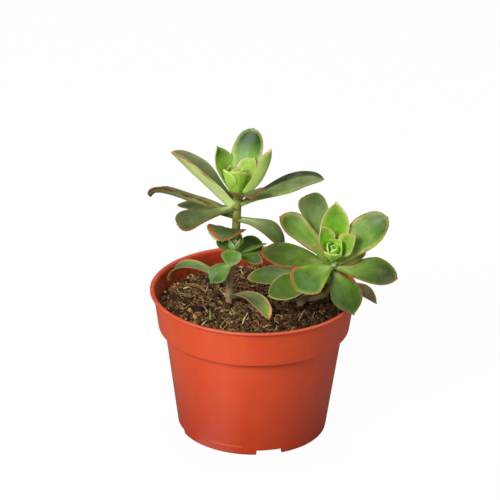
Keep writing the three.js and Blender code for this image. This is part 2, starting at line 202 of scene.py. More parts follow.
def raise_bump(tree, principled, height, distance, strength=1.0):
    """A Bump node from a height of 0 to 1, that many metres deep."""
    bump = add(tree, "ShaderNodeBump", {"Height": height, "Distance": distance, "Strength": strength})
    tree.links.new(bump.outputs["Normal"], principled.inputs["Normal"])


print("helpers ready; mid green is", [round(v, 3) for v in paint("5f8540")[:3]])

# %% [markdown]
# Meshes are made from rows of points that run round a piece, as a basket maker works: each row is a closed
# ring, neighbouring rows are joined by quads, and one point closes each end. Leaves, stems and the pot are
# all made so.

# %% Mesh helpers
def skin_over(name, rings, closed_ends=True):
    """A mesh over an array of rings x points x 3, in millimetres, with a pole at each end."""
    count, around = rings.shape[:2]
    points = (rings.reshape(-1, 3) * MM).tolist()
    faces = []
    for row in range(count - 1):
        for k in range(around):
            a = row * around + k
            b = row * around + (k + 1) % around
            faces.append((a, b, b + around, a + around))
    if closed_ends:
        foot, tip = len(points), len(points) + 1
        points.append((rings[0].mean(0) * MM).tolist())
        points.append((rings[-1].mean(0) * MM).tolist())
        last = (count - 1) * around
        for k in range(around):
            after = (k + 1) % around
            faces.append((foot, after, k))
            faces.append((tip, last + k, last + after))
    mesh = bpy.data.meshes.new(name)
    mesh.from_pydata(points, [], faces)
    mesh.polygons.foreach_set("use_smooth", [True] * len(mesh.polygons))
    return mesh


def store(mesh, name, values):
    """A number for each point, which a material or a node tree reads by name."""
    made = mesh.attributes.new(name, "FLOAT", "POINT")
    made.data.foreach_set("value", np.asarray(values, np.float32).ravel())


def show(name, mesh, *materials):
    """An object at the origin that holds the mesh, in the scene."""
    for material in materials:
        mesh.materials.append(material)
    piece = bpy.data.objects.new(name, mesh)
    bpy.context.scene.collection.objects.link(piece)
    return piece


def hand_out(tree, made, geometry, material):
    """The end of a geometry tree: real copies, with their material on."""
    real = add(tree, "GeometryNodeRealizeInstances", {"Geometry": geometry}).outputs[0]
    dressed = add(tree, "GeometryNodeSetMaterial", {"Geometry": real, "Material": material}).outputs[0]
    tree.links.new(dressed, made.inputs["Geometry"])


def grow(name, mesh, tree, values, material):
    """Runs a geometry node tree on a mesh and keeps what it made as a plain mesh."""
    piece = show(name, mesh)
    modifier = piece.modifiers.new("grow", "NODES")
    modifier.node_group = tree
    for item in tree.interface.items_tree:
        if item.in_out == "INPUT" and item.name in values:
            modifier[item.identifier] = values[item.name]
        if item.in_out == "INPUT" and item.name == "Material":
            modifier[item.identifier] = material
    made = bpy.data.meshes.new_from_object(piece.evaluated_get(bpy.context.evaluated_depsgraph_get()))
    piece.modifiers.remove(modifier)
    piece.data = made
    made.polygons.foreach_set("use_smooth", [True] * len(made.polygons))
    print(name, "has", sum(len(p.vertices) - 2 for p in made.polygons), "triangles")
    return piece


def volume_of(mesh):
    """Cubic millimetres inside a closed mesh. It is negative where the faces point inwards."""
    bm = bmesh.new()
    bm.from_mesh(mesh)
    volume = bm.calc_volume(signed=True) / MM**3
    bm.free()
    return volume


def settle(piece, slot, *nodes):
    """The last step of every piece: it rides on the body and stands for its solids."""
    if nodes:
        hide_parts(*nodes)
    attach(piece, "root")


print("mesh helpers ready")

# %% [markdown]
# ## Light and floor
#
# Plants are sold on white. One wide soft light stands high on the left, which is the side where the pot is
# brightest, a weak one opens the shadows from the right, one hangs overhead, and a pale sky does the rest.
# The floor is one plain sheet, and the camera sees it glow. In front of the pot on the left it glows in
# reflections too, as a sheet of white card would. That lays a soft highlight on the plastic.

# %% Studio
FLOOR_SIDE = 14.0
FLOOR_GREY = (0.25, 0.245, 0.24, 1)
FLOOR_GLOW = 0.85
GLOW_STRENGTH = 1.13
CARD_HEADING = (-0.54, -0.84, 0)
CARD_EDGE = 0.92
SKY_STRENGTH = 0.2
LIT_SPOT = Vector((0, 0, 0.08))


def soft_light(name, place, side, power):
    """A square area light at a place, turned towards the plant, in metres and watts."""
    data = bpy.data.lights.new(name, "AREA")
    data.shape = "SQUARE"
    data.size = side
    data.energy = power
    light = bpy.data.objects.new(name, data)
    light.location = place
    light.rotation_euler = (LIT_SPOT - Vector(place)).to_track_quat("-Z", "Y").to_euler()
    bpy.context.scene.collection.objects.link(light)
    return light


lights = [
    soft_light("key_light", (-0.66, -0.94, 0.85), 0.6, 21.5),
    soft_light("fill_light", (0.9, -0.9, 0.6), 0.8, 4.2),
    soft_light("top_light", (0.0, 0.35, 1.4), 0.8, 9),
]
world = bpy.data.worlds.new("pale_sky")
bpy.context.scene.world = world
world.use_nodes = True
sky = world.node_tree.nodes["Background"]
sky.inputs["Color"].default_value = (1, 1, 1, 1)
sky.inputs["Strength"].default_value = SKY_STRENGTH
bpy.context.scene.view_settings.view_transform = "Standard"

paper, tree, sheet = new_material("white_paper", Base_Color=FLOOR_GREY, Roughness=0.9)
seen = add(tree, "ShaderNodeLightPath").outputs
spot = add(tree, "ShaderNodeNewGeometry").outputs["Position"]
on_heading = vector_maths(tree, "DOT_PRODUCT", vector_maths(tree, "NORMALIZE", spot), CARD_HEADING)
card = times(tree, ramp(tree, on_heading, CARD_EDGE, 1.0), seen["Is Glossy Ray"])
white_share = maths(tree, "ADD", times(tree, seen["Is Camera Ray"], FLOOR_GLOW), card)
glow = add(tree, "ShaderNodeEmission", {"Strength": GLOW_STRENGTH}).outputs[0]
either = add(tree, "ShaderNodeMixShader", {0: white_share, 1: sheet.outputs["BSDF"], 2: glow}).outputs[0]
tree.links.new(either, tree.nodes["Material Output"].inputs["Surface"])
bpy.ops.mesh.primitive_plane_add(size=FLOOR_SIDE)
floor = bpy.context.active_object
floor.name = "floor"
floor.data.materials.append(paper)
print("lights:", [light.name for light in lights])

# %% [markdown]
# ## What dust does
#
# A plant from a shelf is never quite clean. Fine pale dust lies in soft patches on whatever faces up, and
# small brown crumbs of peat stick here and there. The leaves, the stems and the pot all end their finish
# with this group, each with its own amount.

# %% Dust group
dust, dust_in, dust_out = new_group(
    "dust",
    "ShaderNodeTree",
    {
        "Colour": ("Color", (0.5, 0.5, 0.5, 1)),
        "Place": ("Vector", None),
        "Dust": ("Float", 0.2),
        "Specks": ("Float", 0.3),
        "Roughness": ("Float", 0.4),
    },
    {"Colour": "Color", "Roughness": "Float"},
)
DUST_COLOUR = paint("c9c2ae")
SPECK_COLOUR = paint("4b3423")
place = dust_in.outputs["Place"]
up_share = add(dust, "ShaderNodeSeparateXYZ", {0: add(dust, "ShaderNodeNewGeometry").outputs["Normal"]})
facing_up = ramp(dust, up_share.outputs["Z"], 0.0, 0.9, 0.25, 1.0)
patches = ramp(dust, grain(dust, place, 130, 4), 0.42, 0.72)
dusty = times(dust, patches, facing_up, dust_in.outputs["Dust"])
cells = add(dust, "ShaderNodeTexVoronoi", {"Vector": place, "Scale": 330.0})
small = ramp(dust, cells.outputs["Distance"], 0.10, 0.16, 1.0, 0.0)
few = ramp(dust, grain(dust, place, 260, 1), 0.6, 0.68)
specks = times(dust, small, few, dust_in.outputs["Specks"])
powdered = blend(dust, dusty, dust_in.outputs["Colour"], DUST_COLOUR)
speckled = blend(dust, specks, powdered, SPECK_COLOUR)
rougher = maths(dust, "ADD", dust_in.outputs["Roughness"], times(dust, dusty, 0.35))
dust.links.new(speckled, dust_out.inputs["Colour"])
dust.links.new(rougher, dust_out.inputs["Roughness"])


def dust_over(tree, principled, inputs):
    """The last coat of a finish: the dust group with its inputs, wired to the shader."""
    coat = fill(add(tree, "ShaderNodeGroup", node_tree=dust), tree, inputs)
    tree.links.new(coat.outputs["Colour"], principled.inputs["Base Color"])
    tree.links.new(coat.outputs["Roughness"], principled.inputs["Roughness"])


print("dust group:", len(dust.nodes), "nodes")

# %% [markdown]
# ## The skin of a leaf
#
# An aeonium leaf is green in the blade and paler at its foot. Towards the margin it turns yellow-green,
# and the margin itself, where the sun reaches it, is a thin line of brick red, orange or cream. Some
# leaves wear a silvery bloom, and the same patches also carry a painted sheen, pale as the light they
# catch. The underside is paler. All of this follows the leaf's own shape, so the mesh of a leaf carries
# four numbers at each point: how far it is from foot to tip, how far from the midrib, the distance to the
# margin in millimetres, and which face it is on. One group turns them into colour, gloss and relief, and
# each leaf puts its own paints and widths into it.

# %% Inputs of the leaf skin group
SKIN_INPUTS = {
    "Blade": ("Color", paint("6f9440")),
    "Foot": ("Color", paint("a9c06a")),
    "Band": ("Color", paint("9dbb5a")),
    "Edge": ("Color", paint("b4482a")),
    "Under": ("Color", paint("93ad6a")),
    "Tip": ("Color", paint("4b5f2c")),
    "Edge Width": ("Float", 0.6),
    "Edge Start": ("Float", 0.1),
    "Edge Side": ("Float", 0.0),
    "Shade Side": ("Float", 0.0),
    "Band Width": ("Float", 2.5),
    "Bloom And Sheen": ("Float", 0.2),
    "Midline": ("Float", 0.2),
    "Tip Share": ("Float", 0.3),
    "Tip Start": ("Float", 0.62),
    "Wet": ("Float", 0.4),
}
SKIN_OUTPUTS = {"Colour": "Color", "Roughness": "Float", "Height": "Float"}
skin, skin_in, skin_out = new_group("leaf_skin", "ShaderNodeTree", SKIN_INPUTS, SKIN_OUTPUTS)
given = skin_in.outputs
along = attribute(skin, "along")
which_side = ramp(skin, attribute(skin, "across"), -0.3, 0.3, -1.0, 1.0)
from_midrib = maths(skin, "ABSOLUTE", attribute(skin, "across"))
margin = attribute(skin, "margin")
upper = ramp(skin, attribute(skin, "upper"), 0.35, 0.65)
flat_place = add(skin, "ShaderNodeUVMap", uv_map="leaf").outputs[0]
patchy = grain(skin, flat_place, 9, 3)
streaks = grain(skin, stretched(skin, flat_place, 6, 60), 1, 3)
fine = grain(skin, flat_place, 240, 3)
print("leaf skin inputs:", len(SKIN_INPUTS))

# %% [markdown]
# The upper face is painted in layers: the blade with its pale foot, lighter patches and streaks, the line
# of the midrib, the band along the margin, the tip in its own colour, darker spots, and the bloom with its
# painted sheen that lies over them all. Shade Side paints shade on the half of a leaf that is folded away
# from the light.

# %% Upper face of a leaf
PALE_FOOT = paint("e2f2bc")
MOTTLED = paint("8a9078")
SILVER_BLOOM_AND_SHEEN = paint("a4b78c")
HALF_IN_SHADE = paint("7e8a66")
grown = blend(skin, ramp(skin, along, 0.05, 0.62), given["Foot"], given["Blade"])
grown = blend(skin, ramp(skin, along, 0.03, 0.34, 0.66, 0.0), grown, PALE_FOOT)
lighter = blend(skin, ramp(skin, patchy, 0.35, 0.8, 0.0, 0.35), grown, given["Band"])
streaked = blend(skin, ramp(skin, streaks, 0.45, 0.75, 0.0, 0.13), lighter, given["Foot"])
near_midrib = ramp(skin, from_midrib, 0.0, 0.14, 1.0, 0.0)
line_share = times(skin, near_midrib, given["Midline"], ramp(skin, along, 0.1, 0.9, 1.0, 0.2))
lined = blend(skin, line_share, streaked, given["Band"])

inside = maths(skin, "SUBTRACT", margin, given["Edge Width"])
wavering = maths(skin, "ADD", inside, ramp(skin, patchy, 0.2, 0.8, -0.6, 0.6))
band_share = ramp(skin, maths(skin, "DIVIDE", wavering, given["Band Width"]), 0.0, 1.0, 0.9, 0.0)
banded = blend(skin, band_share, lined, given["Band"])
past_start = ramp(skin, maths(skin, "SUBTRACT", along, given["Tip Start"]), 0.0, 0.36)
tip_share = times(skin, past_start, given["Tip Share"], ramp(skin, margin, 0.4, 2.4, 0.5, 1.0))
tipped = blend(skin, tip_share, banded, given["Tip"])

darker_spots = ramp(skin, grain(skin, flat_place, 22, 4, 0.6), 0.4, 0.7, 0.0, 0.34)
mottled = blend(skin, darker_spots, tipped, MOTTLED, "MULTIPLY")
# Bloom and painted sheen: a silvery wax bloom, with a painted sheen of light in the same pale patches.
bloom_and_sheen_patch = times(skin, ramp(skin, grain(skin, flat_place, 5, 4), 0.38, 0.66), given["Bloom And Sheen"])
off_tip = maths(skin, "SUBTRACT", 1.0, times(skin, tip_share, 0.8))
bloom_and_sheen_share = times(skin, bloom_and_sheen_patch, off_tip, ramp(skin, margin, 0.6, 3.0))
with_bloom_and_sheen = blend(skin, bloom_and_sheen_share, mottled, SILVER_BLOOM_AND_SHEEN)
shaded_half = maths(skin, "MAXIMUM", times(skin, which_side, given["Shade Side"]), 0.0)
upper_face = blend(skin, shaded_half, with_bloom_and_sheen, HALF_IN_SHADE, "MULTIPLY")
print("upper face:", len(skin.nodes), "nodes")

# %% [markdown]
# The underside is plainer, with streaks and some of the tip's colour. The coloured edge runs round both
# faces, ragged and wider in places. Edge Side lets it fade on the half of the leaf where the photograph
# shows none.

# %% Underside and edge of a leaf
SKIN_DEPTH = paint("f1eada")
beneath = blend(skin, ramp(skin, streaks, 0.4, 0.8, 0.0, 0.3), given["Under"], given["Foot"])
beneath = blend(skin, times(skin, tip_share, 0.7), beneath, given["Tip"])
both_faces = blend(skin, upper, beneath, upper_face)
ragged = maths(skin, "ADD", margin, ramp(skin, grain(skin, flat_place, 60, 2), 0.2, 0.8, -0.22, 0.22))
stretches = grain(skin, flat_place, 11, 2)
wide_here = ramp(skin, stretches, 0.35, 0.7, 0.7, 1.5)
local_width = times(skin, given["Edge Width"], wide_here, ramp(skin, upper, 0.0, 1.0, 1.5, 1.0))
edge_reach = ramp(skin, maths(skin, "DIVIDE", ragged, local_width), 0.5, 1.15, 1.0, 0.0)
past_foot = ramp(skin, maths(skin, "SUBTRACT", along, given["Edge Start"]), 0.0, 0.3)
strong_here = ramp(skin, stretches, 0.3, 0.5, 0.35, 1.0)
leaning = maths(skin, "ADD", 1.0, times(skin, which_side, given["Edge Side"]))
edge_share = times(skin, edge_reach, past_foot, strong_here, maths(skin, "MINIMUM", leaning, 1.0))
edged = blend(skin, edge_share, both_faces, given["Edge"])
deep = blend(skin, 1.0, edged, SKIN_DEPTH, "MULTIPLY")
dull = maths(skin, "ADD", ramp(skin, patchy, 0.2, 0.8, 0.34, 0.5), times(skin, bloom_and_sheen_share, 0.25))
glossed = maths(skin, "SUBTRACT", dull, times(skin, given["Wet"], 0.1))
relief = maths(skin, "ADD", times(skin, fine, 0.35), times(skin, streaks, 0.65))
skin.links.new(deep, skin_out.inputs["Colour"])
skin.links.new(glossed, skin_out.inputs["Roughness"])
skin.links.new(relief, skin_out.inputs["Height"])
print("leaf skin group:", len(skin.nodes), "nodes")

# %% [markdown]
# The finishes below are the plant's own ages and exposures. Inner leaves are lime green with cream edges,
# leaves in the open are fresh or grey-green with red ones, and the lowest are darker. A leaf names one of
# them and changes only what sets it apart.

# %% Leaf finishes
LOOKS = {
    "lime": {
        "Blade": "8cc034", "Foot": "b8d866", "Band": "bfdc74", "Edge": "e0cc98",
        "Under": "98c646", "Tip": "6f9434",
        "Edge Width": 0.5, "Band Width": 2.2, "Bloom And Sheen": 0.05, "Midline": 0.1, "Tip Share": 0.3,
    },
    "fresh": {
        "Blade": "5f8f2a", "Foot": "a0cc5c", "Band": "86b048", "Edge": "a6583a",
        "Under": "80a844", "Tip": "3f6422",
        "Edge Width": 0.55, "Band Width": 1.8, "Bloom And Sheen": 0.1, "Midline": 0.1,
        "Tip Share": 0.85, "Tip Start": 0.5,
    },
    "sage": {
        "Blade": "5a6f3a", "Foot": "a4c06c", "Band": "7f9a50", "Edge": "904c3a",
        "Under": "a6bc80", "Tip": "3c4c26",
        "Edge Width": 0.5, "Band Width": 1.8, "Bloom And Sheen": 0.4, "Midline": 0.3, "Tip Share": 0.6,
    },
    "dark": {
        "Blade": "44671f", "Foot": "88b048", "Band": "5f8230", "Edge": "904a34",
        "Under": "708c44", "Tip": "3b4f1d",
        "Edge Width": 0.55, "Band Width": 1.6, "Bloom And Sheen": 0.1, "Midline": 0.1,
        "Tip Share": 0.8, "Tip Start": 0.5,
    },
}
LEAF_RELIEF = 0.00012


def leaf_material(name, look, changes):
    """The material of one leaf: its finish, with what sets this leaf apart."""
    material, tree, principled = new_material(
        name, Subsurface_Weight=0.15, Subsurface_Radius=(0.5, 0.9, 0.2), Subsurface_Scale=0.002,
        Specular_IOR_Level=0.2,
    )
    values = {**LOOKS[look], **changes}
    inputs = {key: paint(value) if isinstance(value, str) else value for key, value in values.items()}
    made = fill(add(tree, "ShaderNodeGroup", node_tree=skin), tree, inputs).outputs
    place = add(tree, "ShaderNodeTexCoord").outputs["Object"]
    dust_over(tree, principled, {
        "Colour": made["Colour"], "Roughness": made["Roughness"], "Place": place,
        "Dust": 0.08, "Specks": 0.35,
    })
    raise_bump(tree, principled, made["Height"], LEAF_RELIEF)
    return material


print("finishes:", sorted(LOOKS))

# %% [markdown]
# ## The form of a leaf
#
# A leaf starts narrow on its stem, widens to a spoon and ends in a blunt point with a tiny cusp. It rises
# at one angle and ends at another, its sides fold up a little, and it may roll about its midrib. These are
# the same rules and sizes as those of the solid leaves, with many more rings, a rounded margin, a softer
# fold with a groove along the midrib, and the slight waves that no two leaves share. The points of a ring
# crowd at the margin, where the leaf is thin and its outline is seen.

# %% Leaf outline and midrib
LEAF_EDGE = 0.6
LEAF_SEAT = 0.8
CUSP_LENGTH = 0.5
CUSP_RINGS = 4
LEAF_RINGS = 44
LEAF_AROUND = 48
LOBE_SHARE = 0.03
WAVE_HEIGHT = 0.35
DENT_DEPTH = 0.3
GROOVE_DEPTH = 0.3
FOLD_SOFTNESS = 0.3
MIDRIB_STEPS = 400
OUTLINE_SAMPLES = 600
LEAF_DEFAULTS = {
    "roll": 0, "fold": 16, "bend": 0, "curl": 1.4, "thick": 2, "neck": 0.3, "widest": 0.62, "point": 0.6,
    "keel": 0.95,
}


def leaf_outline(u, leaf):
    """Half the width at u of the length, as a share of the greatest half width."""
    neck, widest = leaf["neck"], leaf["widest"]
    t = np.clip(u / widest, 0, 1)
    rising = neck + (1 - neck) * (0.45 * t + 0.55 * t * t * (3 - 2 * t))
    t = np.clip((u - widest) / (1 - widest), 0, 1)
    return np.where(u < widest, rising, np.maximum((1 - t * t) ** leaf["point"], 0.05))


def leaf_headings(u, leaf):
    """The unit vectors along, across and up from the blade at each u."""
    pitch = np.radians(leaf["rise"] + (leaf["tip"] - leaf["rise"]) * u ** leaf["curl"])
    yaw = np.radians(leaf["bend"] * u)
    ahead = np.stack([np.cos(pitch) * np.cos(yaw), np.cos(pitch) * np.sin(yaw), np.sin(pitch)], 1)
    level = np.stack([-np.sin(yaw), np.cos(yaw), 0 * u], 1)
    turned = np.radians(leaf["roll"] * (0.3 + 0.7 * u))[:, None]
    side = level * np.cos(turned) + np.cross(ahead, level) * np.sin(turned)
    return ahead, side, np.cross(ahead, side)


def midrib_points(u, leaf):
    """The midrib's course, added up in small steps."""
    middles = (np.arange(MIDRIB_STEPS) + 0.5) / MIDRIB_STEPS
    ahead = leaf_headings(middles, leaf)[0] * leaf["length"] / MIDRIB_STEPS
    course = np.vstack([np.zeros(3), np.cumsum(ahead, 0)])
    stations = np.linspace(0, 1, MIDRIB_STEPS + 1)
    return np.stack([np.interp(u, stations, course[:, k]) for k in range(3)], 1)


print("half width at the middle of a plain leaf:", leaf_outline(np.array([0.5]), LEAF_DEFAULTS).round(2))

# %% Leaf surface
def folded_height(v, keel):
    """How far a fold lifts the blade at v of the half width, from 0 at the midrib to 1 at the margin."""
    soft = FOLD_SOFTNESS**2
    return ((v * v + soft) ** keel - soft**keel) / ((1 + soft) ** keel - soft**keel)


def leaf_rings(leaf, seed, rings=LEAF_RINGS, around=LEAF_AROUND):
    """Rings of points round a leaf, with the numbers that its skin reads, in the leaf's own frame."""
    u = 1 - (1 - np.linspace(0, 1, rings)) ** 1.5
    ahead, side, up = leaf_headings(u, leaf)
    centre = midrib_points(u, leaf)
    draw = random.Random(seed)
    phases = [draw.uniform(0, 1) for _ in range(4)]
    turn = math.pi + 2 * math.pi * np.arange(around) / around
    v = np.cos(turn)[None, :]
    face = np.sign(np.sin(turn))[None, :]
    fullness = np.abs(np.sin(turn))[None, :] ** 0.5
    station = u[:, None]

    lobes = np.where(v > 0, phases[0], phases[1])
    half = leaf["width"] / 2 * leaf_outline(u, leaf)[:, None]
    half = half * (1 + LOBE_SHARE * np.sin(2 * math.pi * (1.7 * station + lobes)) * np.abs(v))
    middle = leaf["thick"] * (1.2 - 0.5 * station) * (1 - station**8)
    thickness = (LEAF_EDGE + np.maximum(middle - LEAF_EDGE, 0) * (1 - v * v)) * fullness

    fold = np.radians(leaf["fold"] * (1 - 0.3 * station))
    lift = half * np.sin(fold) * folded_height(v, leaf["keel"])
    waves = np.where(v > 0, phases[2], phases[3])
    ripple = np.sin(2 * math.pi * (1.4 * station + waves))
    wave = WAVE_HEIGHT * leaf["width"] / 18 * np.abs(v) ** 2.5 * ripple
    long_places = u * leaf["length"] / 9
    dents = np.array([[noise.noise((a, b * 1.6, seed * 3.7)) for b in v[0]] for a in long_places])
    groove = GROOVE_DEPTH * np.exp(-((v / 0.11) ** 2)) * (1 - station) ** 0.7
    lift = lift + (wave + DENT_DEPTH * dents) * np.minimum(1, 4 * station) - groove
    lift = lift + np.where(face > 0, 0.3, -0.7) * thickness
    points = centre[:, None, :] + side[:, None, :] * (half * np.cos(fold) * v)[:, :, None]
    points = points + up[:, None, :] * lift[:, :, None]
    flat = np.stack([np.broadcast_to(station * leaf["length"], half.shape), half * v], 2)

    end, flat_end = points[rings - 1], flat[rings - 1 : rings]
    core = end.mean(0)
    for k in range(1, CUSP_RINGS):
        share = k / CUSP_RINGS * math.pi / 2
        gone = CUSP_LENGTH * math.sin(share)
        ring = core + (end - core) * math.cos(share) + ahead[-1] * gone
        points = np.concatenate([points, ring[None]])
        flat = np.concatenate([flat, flat_end + [gone, 0]])
    return points, flat, v[0], np.sin(turn)


def margin_distance(flat):
    """How far each point lies from the leaf's outline in plan, in millimetres."""
    outline = np.vstack([flat[:, 0], flat[::-1, flat.shape[1] // 2]])
    spread = np.linspace(0, len(outline) - 1, OUTLINE_SAMPLES)
    dense = np.stack([np.interp(spread, range(len(outline)), outline[:, k]) for k in (0, 1)], 1)
    gaps = flat.reshape(-1, 1, 2) - dense[None]
    return np.sqrt((gaps**2).sum(2)).min(1)


def leaf_mesh(name, leaf, seed, rings=LEAF_RINGS, around=LEAF_AROUND):
    """One closed leaf with its numbers and its flat map, still in its own frame."""
    points, flat, v, height = leaf_rings(leaf, seed, rings, around)
    mesh = skin_over(name, points)
    count = points.shape[0]
    stations = np.minimum(flat[:, :, 0] / leaf["length"], 1).ravel()
    on_upper_face = 0.5 + 0.5 * np.clip(height * 4, -1, 1)
    store(mesh, "along", np.concatenate([stations, [0, 1]]))
    store(mesh, "across", np.concatenate([np.tile(v, count), [0, 0]]))
    store(mesh, "upper", np.concatenate([np.tile(on_upper_face, count), [0.5, 0.5]]))
    store(mesh, "margin", np.concatenate([margin_distance(flat), [3, 0]]))
    plan = np.vstack([flat.reshape(-1, 2), [[0, 0], [leaf["length"], 0]]]) / 100
    plan += [seed * 1.37, seed * 0.61]
    corners = np.empty(len(mesh.loops), np.int32)
    mesh.loops.foreach_get("vertex_index", corners)
    layer = mesh.uv_layers.new(name="leaf")
    layer.data.foreach_set("uv", plan[corners].astype(np.float32).ravel())
    return mesh, points


trial, _ = leaf_mesh("trial", {**LEAF_DEFAULTS, "rise": 20, "tip": 0, "length": 30, "width": 17}, 1)
print("one leaf:", len(trial.polygons), "faces,", round(volume_of(trial)), "cubic millimetres")
bpy.data.meshes.remove(trial)

# %% [markdown]
# ## Leaves on their stems
#
# A rosette stands on a point of its stem and tips towards a compass heading. Each row gives a leaf's
# height up that stem, its compass heading, the angles at which it rises and ends, its length and its
# greatest width, all in degrees and millimetres, then what sets its form apart, its finish, and what sets
# its finish apart.

# %% Leaves of the tall rosette
TALL_LEAVES = [
    ("tall_leaf_left_low", -3.6, -128, 25, -20, 14.5, 20, {"fold": 24}, "fresh",
     {"Edge": "c4cc8c", "Edge Width": 1, "Blade": "86a84c"}),
    ("tall_leaf_front_low", -1.8, -108, 34, -50, 23, 20.5,
     {"fold": 12, "curl": 2.5, "point": 0.75, "roll": 4}, "dark",
     {"Edge": "a04a34", "Edge Width": 2.0, "Blade": "46602a"}),
    ("tall_leaf_right_low", 4.5, -10, -4, -60, 28, 14, {"roll": 15, "fold": 8}, "sage",
     {"Blade": "64843c", "Foot": "b8d088", "Bloom And Sheen": 0.35, "Edge": "904c3a", "Edge Side": -0.7}),
    ("tall_leaf_left_back_low", 6, 152, 0, -10, 33, 12, {}, "dark", {}),
    ("tall_leaf_left_long", 8, 172, 14, -70, 45.5, 13.5,
     {"fold": 30, "roll": 27, "curl": 9, "widest": 0.8}, "dark",
     {"Edge": "7c3c32", "Edge Width": 0.85, "Blade": "46602e", "Band": "5f7a40", "Edge Side": 1.0,
      "Under": "9cb070"}),
    ("tall_leaf_left_front", 11.4, -164, -9, -14, 31, 12,
     {"roll": -34, "fold": 6, "bend": 8, "point": 0.28, "neck": 0.42, "widest": 0.82}, "sage",
     {"Blade": "465a28", "Foot": "849c54", "Band": "52682e", "Bloom And Sheen": 0.1, "Midline": 0.1, "Edge Side": 0.7,
      "Edge": "8c4434", "Edge Width": 0.8}),
    ("tall_leaf_right_long", 13.8, -4, 31, -18, 46, 18.5,
     {"fold": -7, "roll": 11, "curl": 4, "neck": 0.35}, "sage",
     {"Blade": "4c6036", "Under": "a9c084", "Bloom And Sheen": 0.34, "Midline": 0.5, "Foot": "84a454",
      "Band": "84a050", "Edge": "7c4a3a", "Edge Start": 0.5, "Edge Side": -0.8, "Tip": "3c3024",
      "Tip Start": 0.8, "Band Width": 2.6, "Shade Side": 1.0}),
    ("tall_leaf_back_low", 14, 80, 16, 0, 27, 16, {}, "dark", {}),
    ("tall_leaf_front", 17.5, -74, 40, 2, 26, 19, {"fold": 20, "point": 0.75}, "dark",
     {"Blade": "4a6028", "Edge": "984736", "Edge Width": 2.1, "Foot": "6f9038"}),
    ("tall_leaf_back_left", 17.5, 106, 34, 22, 22, 15, {}, "fresh", {}),
    ("tall_leaf_left_high", 11.4, 176, 42, 41, 43, 17.5, {"fold": 56, "neck": 0.5, "keel": 0.65}, "sage",
     {"Blade": "6c7c58", "Under": "d6f0a4", "Band": "8a9a68", "Bloom And Sheen": 0.5, "Edge Width": 0.8,
      "Edge Side": 0.85, "Edge": "b08060", "Edge Start": 0.3}),
    ("tall_leaf_back", 19, 67, 56, 66, 33.2, 18, {"fold": 20, "point": 0.5}, "sage",
     {"Blade": "72a84c", "Foot": "bcdc88", "Band": "c0dc90", "Edge": "b88458", "Bloom And Sheen": 0.05,
      "Midline": 0.0, "Band Width": 3.0, "Edge Side": -0.8, "Edge Width": 0.4, "Tip": "1f4814",
      "Tip Share": 1.0, "Tip Start": 0.5}),
    ("tall_leaf_right_upright", 19, -24, 38, 84, 33.5, 14.5,
     {"fold": 38, "point": 0.45, "widest": 0.75, "curl": 1}, "fresh",
     {"Under": "c8f088", "Edge": "d4b48c", "Edge Width": 0.35, "Edge Start": 0.4, "Foot": "dcf8a4",
      "Tip": "5a8040", "Tip Share": 0.9, "Tip Start": 0.62}),
    ("tall_leaf_left_upright", 20, 152, 50, 84, 25, 19,
     {"fold": 24, "point": 1, "keel": 0.9, "widest": 0.55, "curl": 1.2}, "fresh",
     {"Blade": "a2d858", "Edge": "ccd094", "Band": "b8de78", "Tip": "4a7632", "Tip Share": 1.0,
      "Tip Start": 0.6}),
    ("tall_leaf_back_right", 21, 39, 58, 68, 17, 15, {"fold": 26, "keel": 0.9}, "lime",
     {"Blade": "9cc850"}),
    ("tall_leaf_front_inner", 20.4, -84, 72, 86, 14, 15, {"fold": 30, "neck": 0.7, "keel": 1}, "lime",
     {"Blade": "90c43c", "Under": "94c844", "Edge": "d8cc94", "Edge Width": 0.6}),
]
print("tall rosette:", len(TALL_LEAVES), "leaves")

